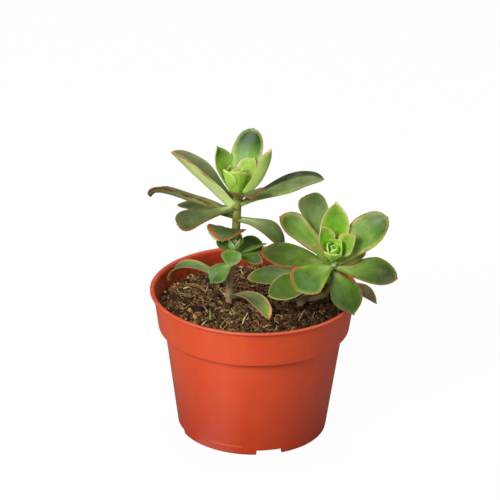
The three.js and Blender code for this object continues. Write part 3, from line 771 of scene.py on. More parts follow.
# %% Leaves of the side rosette and those below it
SIDE_LEAVES = [
    ("side_leaf_back_low", 3.5, 96, 18, 6, 22, 12, {}, "dark", {}),
    ("side_leaf_right_back", 6.5, 25, 27, 14, 17.5, 13, {"fold": 26, "roll": -10}, "fresh",
     {"Blade": "80b048", "Edge": "c46a4c", "Edge Width": 1.5}),
    ("side_leaf_front_right", 5.5, -67, 12, -8, 29, 17.6, {"point": 1, "neck": 0.2}, "fresh",
     {"Blade": "3a5e0c", "Edge": "8e4a2c", "Band": "4e7418", "Edge Width": 0.45, "Midline": 0.0,
      "Foot": "80b03c", "Edge Side": 0.5, "Tip": "345014"}),
    ("side_leaf_left", 6.6, 179, 21, -5, 36.5, 15.4, {"point": 0.72}, "dark",
     {"Blade": "52781c", "Edge": "ac5438", "Edge Width": 0.9, "Edge Side": 0.8, "Foot": "84ac3c"}),
    ("side_leaf_right", 7, -16, 22, 5, 33.5, 17.2, {"neck": 0.2}, "dark",
     {"Blade": "487010", "Tip": "364218", "Tip Share": 1.0, "Edge": "a6583a", "Foot": "9cc458",
      "Band": "688a28", "Edge Side": -0.8, "Edge Start": 0.3}),
    ("side_leaf_back_left", 8, 109, 26, 14, 37, 15.6, {"point": 0.32, "widest": 0.84, "bend": 14}, "fresh",
     {"Blade": "7c9c5c", "Edge": "a8583c", "Band": "a0bc64", "Edge Side": 0.8, "Tip Share": 0.4}),
    ("side_leaf_front_left", 9.2, -132, 25, -13, 26.2, 19,
     {"point": 0.6, "widest": 0.72, "neck": 0.24}, "fresh",
     {"Blade": "4a7612", "Edge": "bc5c38", "Edge Width": 0.8, "Edge Start": 0.42, "Foot": "acd46c",
      "Band": "84ac38", "Bloom And Sheen": 0.05, "Tip": "406a34", "Tip Share": 0.7, "Edge Side": -0.3}),
    ("side_leaf_upper_left", 9.8, 145, 32, 18, 35, 14.8,
     {"bend": 13, "point": 0.6, "widest": 0.72}, "fresh",
     {"Blade": "80b044", "Edge": "b8704c", "Edge Width": 0.7, "Bloom And Sheen": 0.3, "Band": "bccc78",
      "Band Width": 2.4, "Edge Side": 0.5, "Tip Share": 0.7, "Tip Start": 0.56}),
    ("side_leaf_right_upper", 10, 31, 50, 30, 36.5, 20, {"point": 0.5}, "fresh",
     {"Blade": "588828", "Bloom And Sheen": 0.45, "Edge": "a8603e", "Band": "a4bc58", "Foot": "88b850",
      "Tip": "345c1c", "Tip Start": 0.62, "Tip Share": 1.0, "Band Width": 2.4}),
    ("side_leaf_front_inner", 11.5, 188, 52, 80, 19, 9,
     {"fold": 20, "point": 0.9, "roll": 60, "neck": 0.5}, "lime",
     {"Blade": "7cb03c", "Under": "8cbc50", "Edge": "c98a64", "Edge Width": 0.5}),
    ("side_leaf_back", 11, 94, 50, 56, 30.8, 16, {"point": 0.85, "widest": 0.55}, "fresh",
     {"Blade": "76be24", "Foot": "a4d848", "Band": "b4d868", "Edge": "ddd090", "Edge Width": 0.8,
      "Band Width": 2.4, "Tip Share": 0.3}),
    ("side_leaf_right_inner", 13, 28, 62, 68, 19, 13, {"fold": 30, "point": 0.8, "keel": 0.9}, "lime",
     {"Blade": "7eb42c", "Edge": "dca880"}),
    ("side_leaf_left_inner", 13.4, 138, 62, 68, 20, 11.5, {"fold": 30, "keel": 0.9}, "lime",
     {"Blade": "98e034", "Under": "a0dc48", "Foot": "c0ec68"}),
]
SIDE_LOW_LEAVES = [
    ("side_leaf_left_low_far", -4, 176, 16, -10, 41, 17, {"roll": -18}, "dark",
     {"Blade": "6c942c", "Edge": "c9a878", "Edge Width": 0.7, "Band": "6f7c30", "Tip": "5f8a24"}),
    ("side_leaf_left_low", -0.6, 201, 7, -22, 32, 16.5, {"roll": -32}, "fresh",
     {"Blade": "547c1c", "Band": "6a8c30", "Edge": "b0a070", "Bloom And Sheen": 0.2, "Tip Share": 0.6}),
    ("side_leaf_right_low", -1, -18, 4, -46, 26, 11.5, {}, "sage",
     {"Blade": "7a7248", "Foot": "8c8a58", "Band": "857c50", "Edge": "9a6a44", "Tip": "6b5238"}),
]
print("side rosette:", len(SIDE_LEAVES) + len(SIDE_LOW_LEAVES), "leaves")

# %% Leaves of the offset and those over the mix
OFFSET_LEAVES = [
    ("offset_leaf_low", -5, -138, 0, -46, 15.5, 11.2, {"point": 1.3}, "dark",
     {"Blade": "548434", "Foot": "86b060", "Bloom And Sheen": 0.5, "Edge": "7c9a58"}),
    ("offset_leaf_right", 2, 6, 36, 24, 17, 5, {"fold": 10, "roll": -42}, "dark",
     {"Blade": "7a9a60", "Under": "84a468", "Edge": "7a9450"}),
    ("offset_leaf_back_right", 2, 28, 16, 0, 15, 13, {}, "dark", {"Blade": "4a7c22", "Edge": "5f8a34"}),
    ("offset_leaf_back_left", 3.5, 144, 24, 0, 10, 8, {}, "dark", {}),
    ("offset_leaf_front_right", 2.4, -19, 18, -16, 14.5, 8, {}, "dark",
     {"Blade": "4c7a2c", "Edge": "8c8a4c"}),
    ("offset_leaf_front", 7, -100, 42, -44, 12, 11, {"fold": 20, "point": 0.95}, "fresh",
     {"Blade": "5f9640", "Bloom And Sheen": 0.5, "Edge": "88a05c"}),
]
GROUND_LEAVES = [
    ("ground_leaf_left", 12.5, 162, 27, -88, 37, 11.5, {"curl": 2.2, "widest": 0.74, "point": 0.5}, "dark",
     {"Blade": "6a9454", "Band": "98b478", "Edge": "b98a5c", "Edge Width": 0.9}),
    ("ground_leaf_front", 5.5, -49, 28, -50, 32, 11, {"fold": 22}, "dark",
     {"Blade": "627a44", "Foot": "b0ac8c", "Edge": "cf9c7a", "Edge Width": 1.1, "Tip": "9ab838",
      "Tip Share": 0.9, "Tip Start": 0.62}),
]
ROSETTES = [
    {"foot": (-10, 2.5, 111), "tilt": 2, "towards": -60, "stem": 2.2, "leaves": TALL_LEAVES},
    {"foot": (39.2, -1.6, 87.4), "tilt": 34, "towards": -82, "stem": 2.2, "leaves": SIDE_LEAVES},
    {"foot": (38.6, -1.9, 83), "tilt": 0, "towards": 0, "stem": 2.2, "leaves": SIDE_LOW_LEAVES},
    {"foot": (-11, -5.6, 97.5), "tilt": 28, "towards": -84, "stem": 1.5, "leaves": OFFSET_LEAVES},
    {"foot": (-12.8, 2.4, 67), "tilt": 0, "towards": 0, "stem": 2.0, "leaves": GROUND_LEAVES},
]
print("leaves in all:", sum(len(rosette["leaves"]) for rosette in ROSETTES))

# %% Place the leaves
def rosette_place(rosette):
    """The matrix that tips a rosette over and stands it on its foot, in metres."""
    towards = math.radians(rosette["towards"])
    hinge = Vector((-math.sin(towards), math.cos(towards), 0))
    tip_over = Matrix.Rotation(math.radians(rosette["tilt"]), 4, hinge)
    return Matrix.Translation(Vector(rosette["foot"]) * MM) @ tip_over


def leaf_slot(name):
    """The group a leaf belongs to by its name: young inner leaves, old low leaves, or the open ones between
    them.
    """
    if "inner" in name or "upright" in name:
        return "leaf_inner"
    return "leaf_low" if "low" in name or "ground" in name else "leaf_outer"


margins = []
seed = 0
for rosette in ROSETTES:
    stand = rosette_place(rosette)
    for name, up, compass, rise, tip, length, width, form, look, changes in rosette["leaves"]:
        seed += 1
        leaf = {**LEAF_DEFAULTS, "rise": rise, "tip": tip, "length": length, "width": width, **form}
        mesh, points = leaf_mesh(name, leaf, seed)
        heading = math.radians(compass)
        start = rosette["stem"] - LEAF_SEAT + abs(math.sin(math.radians(rise))) * leaf["thick"] * 0.6
        seat = Vector((start * math.cos(heading), start * math.sin(heading), up)) * MM
        place = stand @ Matrix.Translation(seat) @ Matrix.Rotation(heading, 4, "Z")
        mesh.transform(place)
        piece = show(name + "_living", mesh, leaf_material(name + "_skin", look, changes))
        settle(piece, leaf_slot(name), name)
        margins.append((place, points))
print("leaves placed:", len(margins))

# %% [markdown]
# Under a lens the margin of an aeonium leaf carries a row of tiny pale teeth. A node tree turns the
# margins into curves, steps along them, and stands a three-sided cone at each step, turned outwards and a
# little towards the tip, each with its own size.

# %% Teeth along the margins
TOOTH_LENGTH = 0.00042
TOOTH_WIDTH = 0.00007
TOOTH_SPACING = 0.00062
TOOTH_LEAN = 0.7
FIRST_TOOTHED_RING = 8


def margin_lines(leaves):
    """A mesh of loose lines along both margins of every leaf, with the way out stored at each point."""
    line_points, line_edges, ways_out = [], [], []
    for place, points in leaves:
        opposite = points.shape[1] // 2
        for here, there in ((0, opposite), (opposite, 0)):
            course = points[FIRST_TOOTHED_RING:-1, here]
            out = course - points[FIRST_TOOTHED_RING:-1, there]
            forwards = np.gradient(course, axis=0)
            out = out / np.linalg.norm(out, axis=1)[:, None]
            out = out + TOOTH_LEAN * forwards / np.linalg.norm(forwards, axis=1)[:, None]
            first_point = len(line_points)
            line_points += [place @ (Vector(p) * MM) for p in course]
            ways_out += [place.to_3x3() @ Vector(w) for w in out]
            line_edges += [(k, k + 1) for k in range(first_point, len(line_points) - 1)]
    mesh = bpy.data.meshes.new("margin_lines")
    mesh.from_pydata(line_points, line_edges, [])
    outwards = mesh.attributes.new("outwards", "FLOAT_VECTOR", "POINT")
    outwards.data.foreach_set("vector", np.array(ways_out, np.float32).ravel())
    return mesh


TEETH_INPUTS = {
    "Geometry": ("Geometry", None), "Length": ("Float", TOOTH_LENGTH), "Width": ("Float", TOOTH_WIDTH),
    "Spacing": ("Float", TOOTH_SPACING), "Material": ("Material", None),
}
teeth, teeth_in, teeth_out = new_group(
    "margin_teeth", "GeometryNodeTree", TEETH_INPUTS, {"Geometry": "Geometry"}
)
given = teeth_in.outputs
curves = add(teeth, "GeometryNodeMeshToCurve", {"Mesh": given["Geometry"]}).outputs[0]
steps = {"Curve": curves, "Length": given["Spacing"]}
stops = add(teeth, "GeometryNodeCurveToPoints", steps, mode="LENGTH").outputs["Points"]
way = add(teeth, "GeometryNodeInputNamedAttribute", {"Name": "outwards"}, data_type="FLOAT_VECTOR")
turned = add(teeth, "FunctionNodeAlignRotationToVector", {"Vector": way.outputs[0]}, axis="Z").outputs[0]
cone = add(teeth, "GeometryNodeMeshCone", {
    "Vertices": 3, "Radius Bottom": given["Width"], "Depth": given["Length"],
}).outputs[0]
size = add(teeth, "FunctionNodeRandomValue", {2: 0.4, 3: 1.2, "Seed": 4}, data_type="FLOAT").outputs[1]
stood = add(teeth, "GeometryNodeInstanceOnPoints", {
    "Points": stops, "Instance": cone, "Rotation": turned, "Scale": size,
}).outputs[0]
hand_out(teeth, teeth_out, stood, given["Material"])

tooth_skin = new_material(
    "tooth_skin", Base_Color=paint("dcd6a8"), Roughness=0.5, Subsurface_Weight=0.3, Subsurface_Scale=0.0005
)[0]
fringe = grow("leaf_margin_teeth", margin_lines(margins), teeth, {}, tooth_skin)
settle(fringe, "leaf_outer")

# %% [markdown]
# ## The hearts
#
# At the end of each stem the youngest leaves stand upright and wrap round each other like a rosebud. Each
# one follows the last by the golden angle, is shorter and steeper, and curls in at its tip. They have the
# same form as the other leaves, with fewer rings because they are small, and each heart is joined into one
# piece.

# %% Hearts
GOLDEN_ANGLE = 137.5
HEART_STEP = 0.7
HEART_FOOT = 1.1
HEART_RADIUS = 0.3
OUTER_RISE = 56
RISE_GAIN = 26
TIP_GAIN = 26
SIZE_LOSS = 0.6
YOUNG_RINGS = 22
YOUNG_AROUND = 32
HEARTS = [
    {
        "name": "tall_heart", "rosette": 0, "up": 19, "shift": (-2, -0.6), "first": 212,
        "longest": 15, "widest": 12.5, "count": 7,
        "look": {"Blade": "a8dc54", "Under": "a8dc5c", "Edge": "c8dc8c", "Edge Width": 0.32},
    },
    {
        "name": "side_heart", "rosette": 1, "up": 11.2, "shift": (-1.2, 0.9), "first": -100,
        "longest": 15.6, "widest": 13, "count": 6,
        "look": {"Blade": "b4f04c", "Under": "aae854", "Foot": "ccf47c", "Edge": "c0e488",
                 "Edge Width": 0.3},
    },
    {
        "name": "offset_heart", "rosette": 3, "up": 5, "shift": (0, 0), "first": 66,
        "longest": 11, "widest": 8, "count": 6,
        "look": {"Blade": "94cc70", "Under": "a8d888", "Foot": "c0e49c", "Edge": "dce8b8", "Bloom And Sheen": 0.3},
    },
]


def join_meshes(name, meshes):
    """One mesh from several, with their stored numbers and maps."""
    bm = bmesh.new()
    for mesh in meshes:
        bm.from_mesh(mesh)
    joined = bpy.data.meshes.new(name)
    bm.to_mesh(joined)
    bm.free()
    for mesh in meshes:
        bpy.data.meshes.remove(mesh)
    return joined


def heart_mesh(heart, first_seed):
    """The young leaves of a heart in one mesh, at their place on the plant."""
    stand = rosette_place(ROSETTES[heart["rosette"]])
    off_centre = Matrix.Translation(Vector((HEART_RADIUS, 0, 0)) * MM)
    young_leaves = []
    for k in range(heart["count"]):
        share = k / heart["count"]
        rise = OUTER_RISE + RISE_GAIN * share
        size = 1 - SIZE_LOSS * share
        young = {
            **LEAF_DEFAULTS, "rise": rise, "tip": rise + TIP_GAIN, "length": heart["longest"] * size,
            "width": heart["widest"] * size, "thick": 1.3, "fold": 34, "neck": 0.5, "curl": 1.2,
        }
        mesh, _ = leaf_mesh(f"{heart['name']}_young_{k}", young, first_seed + k, YOUNG_RINGS, YOUNG_AROUND)
        height = heart["up"] + HEART_FOOT + HEART_STEP * k
        lifted = Matrix.Translation(Vector((*heart["shift"], height)) * MM)
        turned = Matrix.Rotation(math.radians(heart["first"] + GOLDEN_ANGLE * k), 4, "Z")
        mesh.transform(stand @ lifted @ turned @ off_centre)
        young_leaves.append(mesh)
    return join_meshes(heart["name"], young_leaves)


for heart in HEARTS:
    mesh = heart_mesh(heart, seed + 1)
    seed += heart["count"]
    finish = leaf_material(heart["name"] + "_skin", "lime", {**heart["look"], "Midline": 0.05})
    settle(show(heart["name"] + "_living", mesh, finish), "leaf_inner", heart["name"])
    print(heart["name"], "has", heart["count"], "leaves")

# %% [markdown]
# ## The stems
#
# A stem keeps a scar for every leaf it has shed: a shallow dish with a raised lip, set in the same spiral
# as the leaves. Above the mix it is corky and brown, and near its top still green. The course is a curve
# through a few chosen points, each with the stem's radius there, and the scars press into the surface by a
# formula, so they show in outline too.

# %% Stem course
STEM_RING_STEP = 0.35
SPAN_STEPS = 60
STEM_AROUND = 30
SCAR_SPACING = 2.1
SCAR_HEIGHT = 0.16
SCAR_HALF_WIDTH = 0.75
SCAR_HALF_HEIGHT = 0.85
LIP_WIDTH = 0.35
DISH_SHARE = 0.6
BARE_HEIGHT = 3
WRINKLE_HEIGHT = 0.13
MIX_LEVEL = 68
STEM_FOOT = MIX_LEVEL - 22
TALL_STEM = [
    (-13, 2.3, STEM_FOOT, 1.7), (-13, 2.3, 60, 1.7), (-13, 2.3, 70, 1.8), (-12.6, 2.4, 82, 1.9),
    (-11.4, 2.4, 97, 2), (-10, 2.5, 111, 2.1), (-9.8, 2.2, 121, 2.3), (-9.6, 1.9, 130, 2.1),
]
OFFSET_STEM = [
    (-12, 2.4, 88, 1.2), (-11.5, -1.5, 92.5, 1.4), (-11, -5.6, 97.5, 1.5), (-10.8, -7.9, 101.9, 1.5),
]
SIDE_STEM = [
    (23.5, 0, STEM_FOOT, 1.9), (23.5, 0, 60, 1.9), (23.6, 0, 68.5, 2), (26, -0.6, 72.4, 2),
    (31, -1.6, 73.8, 2.1), (36.2, -2, 76.4, 2.2), (38.8, -2, 81.6, 2.2), (39.2, -1.6, 87.4, 2.2),
    (40.1, -7.8, 96.6, 2),
]


def between(t, start, end, a, b):
    """The point that is a when t is start, and b when t is end."""
    return ((end - t) * a + (t - start) * b) / (end - start)


def smooth_course(points, steps):
    """A centripetal curve through the points: places and radii at even steps, and its length."""
    given_points = np.array(points, float)
    before = 2 * given_points[0] - given_points[1]
    after = 2 * given_points[-1] - given_points[-2]
    padded = np.vstack([before, given_points, after])
    dense = []
    for k in range(len(points) - 1):
        near = padded[k : k + 4]
        times_between = np.sqrt(np.linalg.norm(np.diff(near[:, :3], axis=0), axis=1))
        knots = np.concatenate([[0], np.cumsum(times_between)])
        is_last = k == len(points) - 2
        t = np.linspace(knots[1], knots[2], SPAN_STEPS, endpoint=is_last)[:, None]
        first = [between(t, knots[i], knots[i + 1], near[i], near[i + 1]) for i in range(3)]
        second = [between(t, knots[i], knots[i + 2], first[i], first[i + 1]) for i in range(2)]
        dense.append(between(t, knots[1], knots[2], *second))
    dense = np.vstack(dense)
    gone = np.concatenate([[0], np.cumsum(np.linalg.norm(np.diff(dense[:, :3], axis=0), axis=1))])
    even = np.linspace(0, gone[-1], steps)
    return np.stack([np.interp(even, gone, dense[:, k]) for k in range(4)], 1), gone[-1]


def stem_mesh(name, points, first_scar):
    """A scarred stem, with its share of the length and how deep in a scar each point is."""
    length = smooth_course(points, 2)[1]
    steps = int(length / STEM_RING_STEP)
    course, _ = smooth_course(points, steps)
    centres, radii = course[:, :3], course[:, 3]
    ahead = np.gradient(centres, axis=0)
    ahead /= np.linalg.norm(ahead, axis=1)[:, None]
    side = np.cross([0, 1, 0], ahead)
    side /= np.linalg.norm(side, axis=1)[:, None]
    front = np.cross(ahead, side)
    turn = 2 * math.pi * np.arange(STEM_AROUND) / STEM_AROUND
    gone = np.linspace(0, length, steps)
    bare = np.clip((centres[:, 2] - MIX_LEVEL) / BARE_HEIGHT, 0, 1)[:, None]
    relief = np.zeros((steps, STEM_AROUND))
    scars = np.zeros((steps, STEM_AROUND))
    for k in range(int(length / SCAR_SPACING)):
        heading = math.radians(first_scar + GOLDEN_ANGLE * k)
        sideways = (turn[None, :] - heading + math.pi) % (2 * math.pi) - math.pi
        upwards = gone[:, None] - k * SCAR_SPACING
        reach = np.sqrt((sideways / SCAR_HALF_WIDTH) ** 2 + (upwards / SCAR_HALF_HEIGHT) ** 2)
        lip = np.exp(-(((reach - 1) / LIP_WIDTH) ** 2))
        dish = np.exp(-(reach**3))
        relief += SCAR_HEIGHT * (lip - DISH_SHARE * dish)
        scars = np.maximum(scars, dish)
    round_it = [(math.sin(a) * 2.5, math.cos(a) * 2.5 + first_scar) for a in turn]
    wrinkles = np.array([[noise.noise((c * 2.2, *at)) for at in round_it] for c in gone * 0.35])
    radius = radii[:, None] + bare * (relief + WRINKLE_HEIGHT * wrinkles)
    rings = centres[:, None, :] + side[:, None, :] * (radius * np.cos(turn))[:, :, None]
    rings = rings + front[:, None, :] * (radius * np.sin(turn))[:, :, None]
    mesh = skin_over(name, rings)
    store(mesh, "along", np.concatenate([np.repeat(gone / length, STEM_AROUND), [0, 1]]))
    store(mesh, "scar", np.concatenate([scars.ravel(), [0, 0]]))
    return mesh


print("tall stem:", round(smooth_course(TALL_STEM, 2)[1]), "mm along its course")

# %% Bark and stem pieces
CORK_COLOUR = paint("5f5138")
SCAR_COLOUR = paint("4f3b24")
BARK_RELIEF = 0.00025


def bark_material(name, foot, middle_colour, top, start, end):
    """Corky low down, olive in the middle and green at the top, with brown scars."""
    material, tree, principled = new_material(name, Specular_IOR_Level=0.35, Subsurface_Weight=0.05)
    place = add(tree, "ShaderNodeTexCoord").outputs["Object"]
    rough_skin = grain(tree, stretched(tree, place, 900, 900, 350), 1, 5, 0.65)
    wandering = ramp(tree, grain(tree, place, 240, 3), 0.2, 0.8, -0.08, 0.08)
    share = maths(tree, "ADD", attribute(tree, "along"), wandering)
    lower = blend(tree, ramp(tree, share, start, (start + end) / 2), paint(foot), paint(middle_colour))
    aged = blend(tree, ramp(tree, share, end - 0.12, end), lower, paint(top))
    corky = blend(tree, ramp(tree, rough_skin, 0.42, 0.68, 0.0, 0.55), aged, CORK_COLOUR)
    scarred = blend(tree, times(tree, attribute(tree, "scar"), 0.55), corky, SCAR_COLOUR)
    dust_over(tree, principled, {
        "Colour": scarred, "Place": place, "Dust": 0.3, "Specks": 0.5, "Roughness": 0.62,
    })
    raise_bump(tree, principled, rough_skin, BARK_RELIEF)
    return material


tall_bark = bark_material("tall_bark", "a28c6c", "7a782c", "98a844", 0.46, 0.98)
side_bark = bark_material("side_bark", "c0b090", "a8a068", "c0e088", 0.3, 0.8)
tall_stem = show("tall_stem_living", stem_mesh("tall_stem", TALL_STEM, 20), tall_bark)
offset_stem = show("offset_stem_living", stem_mesh("offset_stem", OFFSET_STEM, 80), tall_bark)
side_stem = show("side_stem_living", stem_mesh("side_stem", SIDE_STEM, 140), side_bark)
settle(tall_stem, "stem_bark", "tall_stem")
settle(offset_stem, "stem_bark")
settle(side_stem, "stem_bark", "side_stem")
print("stem faces:", [len(o.data.polygons) for o in (tall_stem, offset_stem, side_stem)])

# %% [markdown]
# ## The pot
#
# The pot is one shot of plastic, so its section is drawn once and turned about its axis: a foot ring, a
# tapering body, a ledge, a band and a rolled rim, and the same again inside. The solid has 48 flat sides,
# and here it gets 192 and a small round on every corner. The slots in the foot ring and the drain holes
# are cut by one Boolean, as the mould's cores cut them.

# %% Pot section
POT_HEIGHT = 77
RIM_RADIUS = 54
RIM_WIDTH = 1.8
RIM_THICKNESS = 1.2
WALL = 1.1
BAND_FOOT = POT_HEIGHT - 20.5
BAND_TOP_RADIUS = 52.2
BAND_FOOT_RADIUS = 49.4
BODY_TOP_RADIUS = 46.2
BODY_FOOT_RADIUS = 38.6
FOOT_RADIUS = 37.4
FOOT_HEIGHT = 3
FOOT_WIDTH = 1.6
PAD_RADIUS = 11
SLOT_WIDTH = 13.6
SLOT_DEPTH = 8
SLOT_HEADINGS = (-76, 14, 104, 194)
HOLE_RADIUS = 3.5
HOLE_DISTANCE = 26
POT_AROUND = 192
ROUND_STEPS = 5
SHARP_ANGLE = 38


def rounded(corners):
    """A polyline with a curve at each corner. A corner is radius, height and the size of its round."""
    line = [corners[0][:2]]
    for before, corner, after in zip(corners, corners[1:], corners[2:]):
        here = np.array(corner[:2], float)
        to_before = np.array(before[:2]) - here
        to_after = np.array(after[:2]) - here
        size = min(corner[2], 0.45 * np.linalg.norm(to_before), 0.45 * np.linalg.norm(to_after))
        start = here + to_before / np.linalg.norm(to_before) * size
        end = here + to_after / np.linalg.norm(to_after) * size
        for k in range(ROUND_STEPS + 1):
            t = k / ROUND_STEPS
            line.append(tuple((1 - t) ** 2 * start + 2 * t * (1 - t) * here + t * t * end))
    return line + [corners[-1][:2]]


rim_under = POT_HEIGHT - RIM_THICKNESS
plate = FOOT_HEIGHT + WALL
pot_section = rounded([
    (0.5, 0, 0), (PAD_RADIUS, 0, 0.3), (PAD_RADIUS + 1, FOOT_HEIGHT, 0.3),
    (FOOT_RADIUS - FOOT_WIDTH, FOOT_HEIGHT, 0.3), (FOOT_RADIUS - FOOT_WIDTH, 0, 0.3),
    (FOOT_RADIUS, 0, 0.3), (FOOT_RADIUS + 0.8, 0.8, 0.4), (BODY_FOOT_RADIUS, FOOT_HEIGHT, 0.6),
    (BODY_TOP_RADIUS, BAND_FOOT, 0.4), (BAND_FOOT_RADIUS - 0.4, BAND_FOOT, 0.2),
    (BAND_FOOT_RADIUS, BAND_FOOT + 0.5, 0.4), (BAND_TOP_RADIUS, rim_under, 0.3),
    (RIM_RADIUS - 0.3, rim_under, 0.25), (RIM_RADIUS, rim_under + 0.4, 0.3),
    (RIM_RADIUS, POT_HEIGHT - 0.5, 0.3), (RIM_RADIUS - 0.5, POT_HEIGHT, 0.3),
    (RIM_RADIUS - RIM_WIDTH, POT_HEIGHT, 0.5),
    (BAND_TOP_RADIUS - WALL, rim_under, 0.5), (BAND_FOOT_RADIUS - WALL, BAND_FOOT + WALL, 0.6),
    (BODY_TOP_RADIUS - WALL, BAND_FOOT + WALL, 0.4), (BODY_FOOT_RADIUS - WALL, plate, 1.0),
    (PAD_RADIUS - 0.2, plate, 0.3), (PAD_RADIUS - 1.1, WALL, 0.3), (0.5, WALL, 0),
])
print("points in the pot's section:", len(pot_section))

# %% Turn the pot and cut it
turn = 2 * math.pi * np.arange(POT_AROUND) / POT_AROUND
rings = np.array([[(r * math.cos(a), r * math.sin(a), z) for a in turn] for r, z in pot_section])
pot = show("pot_shell", skin_over("pot_shell", rings))
print("pot volume:", round(volume_of(pot.data) / 1000, 1), "cubic centimetres")

cutters = bmesh.new()
for heading in SLOT_HEADINGS:
    turned = Matrix.Rotation(math.radians(heading), 4, "Z")
    slot_size = Matrix.Diagonal((SLOT_DEPTH * MM, SLOT_WIDTH * MM, 2 * FOOT_HEIGHT * MM, 1))
    slot_place = turned @ Matrix.Translation((FOOT_RADIUS * MM, 0, 0))
    hole_place = turned @ Matrix.Translation((HOLE_DISTANCE * MM, 0, FOOT_HEIGHT * MM))
    bmesh.ops.create_cube(cutters, matrix=slot_place @ slot_size)
    bmesh.ops.create_cone(
        cutters, cap_ends=True, segments=32, radius1=HOLE_RADIUS * MM, radius2=HOLE_RADIUS * MM,
        depth=4 * WALL * MM, matrix=hole_place,
    )
cutter_mesh = bpy.data.meshes.new("cores")
cutters.to_mesh(cutter_mesh)
cutters.free()
cores = show("cores", cutter_mesh)
cut = pot.modifiers.new("cores", "BOOLEAN")
cut.object = cores
cut.operation = "DIFFERENCE"
cut.solver = "EXACT"
pot_cut = bpy.data.meshes.new_from_object(pot.evaluated_get(bpy.context.evaluated_depsgraph_get()))
pot.modifiers.remove(cut)
pot.data = pot_cut
bpy.data.objects.remove(cores)
pot_cut.polygons.foreach_set("use_smooth", [True] * len(pot_cut.polygons))
pot_cut.set_sharp_from_angle(angle=math.radians(SHARP_ANGLE))
print("pot faces after the cut:", len(pot_cut.polygons), "volume", round(volume_of(pot_cut) / 1000, 1))

# %% [markdown]
# The plastic is a satin orange with very slight streaks where the melt flowed down the wall. Shade is
# painted in: the plastic is a little deeper towards the foot, the rim browner to tone down the light it
# catches, and the wall inside the rim darker, with a film of dried soil above the mix. A short mould line
# near the foot is painted pale, as the highlight on its ridge.

# %% Pot plastic
MOULD_RELIEF = 0.00006
MOULD_LINE_HEIGHT = 5.1
MOULD_LINE_ENDS = (-0.02, -0.005)
SOIL_FILM_LEVELS = (0.067, 0.077)
ORANGE = paint("de4e1b")
REDDER_ORANGE = paint("d44518")
LIGHTER_ORANGE = paint("e45a28")
# Painted shade for the foot, the rim and the inside wall, and a painted highlight for the mould line.
FOOT_PAINTED_SHADE = paint("c49a9c")
INNER_PAINTED_SHADE = paint("c89888")
RIM_PAINTED_SHADE = paint("a8482c")
SOIL_FILM = paint("502814")
MOULD_LINE_HIGHLIGHT = paint("f09a72")

plastic, tree, principled = new_material(
    "pot_plastic", Specular_IOR_Level=0.5, Subsurface_Weight=0.05, Subsurface_Radius=(1.0, 0.25, 0.1),
    Subsurface_Scale=0.001,
)
place = add(tree, "ShaderNodeTexCoord").outputs["Object"]
axes = add(tree, "ShaderNodeSeparateXYZ", {0: place}).outputs
flow = grain(tree, stretched(tree, place, 60, 60, 9), 1, 3)
tone = blend(tree, ramp(tree, flow, 0.3, 0.7), ORANGE, REDDER_ORANGE)
clouds = ramp(tree, grain(tree, place, 28, 4), 0.35, 0.75, 0.0, 0.35)
clouded = blend(tree, clouds, tone, LIGHTER_ORANGE)
# Painted shade: the plastic darker towards the foot.
shaded_towards_foot = blend(tree, ramp(tree, axes["Z"], 0.0, 0.057, 0.7, 0.1), clouded, FOOT_PAINTED_SHADE, "MULTIPLY")
# Painted shade: the rim browner, to tone down the light it catches.
rim_shade_share = ramp(tree, axes["Z"], (rim_under - 0.1) * MM, (rim_under + 0.3) * MM, 0.0, 0.45)
rim_shaded = blend(tree, rim_shade_share, shaded_towards_foot, RIM_PAINTED_SHADE)

from_axis = vector_maths(tree, "LENGTH", vector_maths(tree, "MULTIPLY", place, (1, 1, 0)))
mid_wall = ramp(tree, axes["Z"], BAND_FOOT * MM, rim_under * MM, (BAND_FOOT_RADIUS - 0.5) * MM,
                (BAND_TOP_RADIUS - 0.5) * MM)
inside_wall = ramp(tree, maths(tree, "SUBTRACT", mid_wall, from_axis), -0.0002, 0.0002)
is_inside = times(tree, inside_wall, maths(tree, "GREATER_THAN", axes["Z"], (BAND_FOOT + 1) * MM))
# Painted shade: the wall inside the pot darker, as in a hollow.
inner = blend(tree, times(tree, is_inside, 0.6), rim_shaded, INNER_PAINTED_SHADE, "MULTIPLY")
splashes = ramp(tree, grain(tree, place, 420, 4, 0.7), 0.36, 0.6, 0.25, 0.85)
film_share = times(tree, is_inside, ramp(tree, axes["Z"], *SOIL_FILM_LEVELS, 1.0, 0.3), splashes)
soiled = blend(tree, film_share, inner, SOIL_FILM)

# Painted highlight: a pale line along the ridge of the mould line.
off_line = maths(tree, "ABSOLUTE", maths(tree, "SUBTRACT", axes["Z"], MOULD_LINE_HEIGHT * MM))
line_share = times(
    tree, ramp(tree, off_line, 0.00012, 0.0003, 0.4, 0.0), maths(tree, "LESS_THAN", axes["Y"], 0.0),
    ramp(tree, axes["X"], MOULD_LINE_ENDS[0] - 0.001, MOULD_LINE_ENDS[0] + 0.0005),
    ramp(tree, axes["X"], MOULD_LINE_ENDS[1] - 0.001, MOULD_LINE_ENDS[1] + 0.0005, 1.0, 0.0),
)
lined = blend(tree, line_share, soiled, MOULD_LINE_HIGHLIGHT)
satin = ramp(tree, grain(tree, place, 70, 4), 0.3, 0.7, 0.38, 0.48)
dust_over(tree, principled, {
    "Colour": lined, "Place": place, "Dust": 0.05, "Specks": 0.0, "Roughness": satin,
})
fine_grain = times(tree, grain(tree, place, 2600, 2), 0.5)
broad_grain = times(tree, grain(tree, place, 160, 3), 0.5)
raise_bump(tree, principled, maths(tree, "ADD", fine_grain, broad_grain), MOULD_RELIEF)
pot.data.materials.clear()
pot.data.materials.append(plastic)
settle(pot, "pot_plastic", "pot")

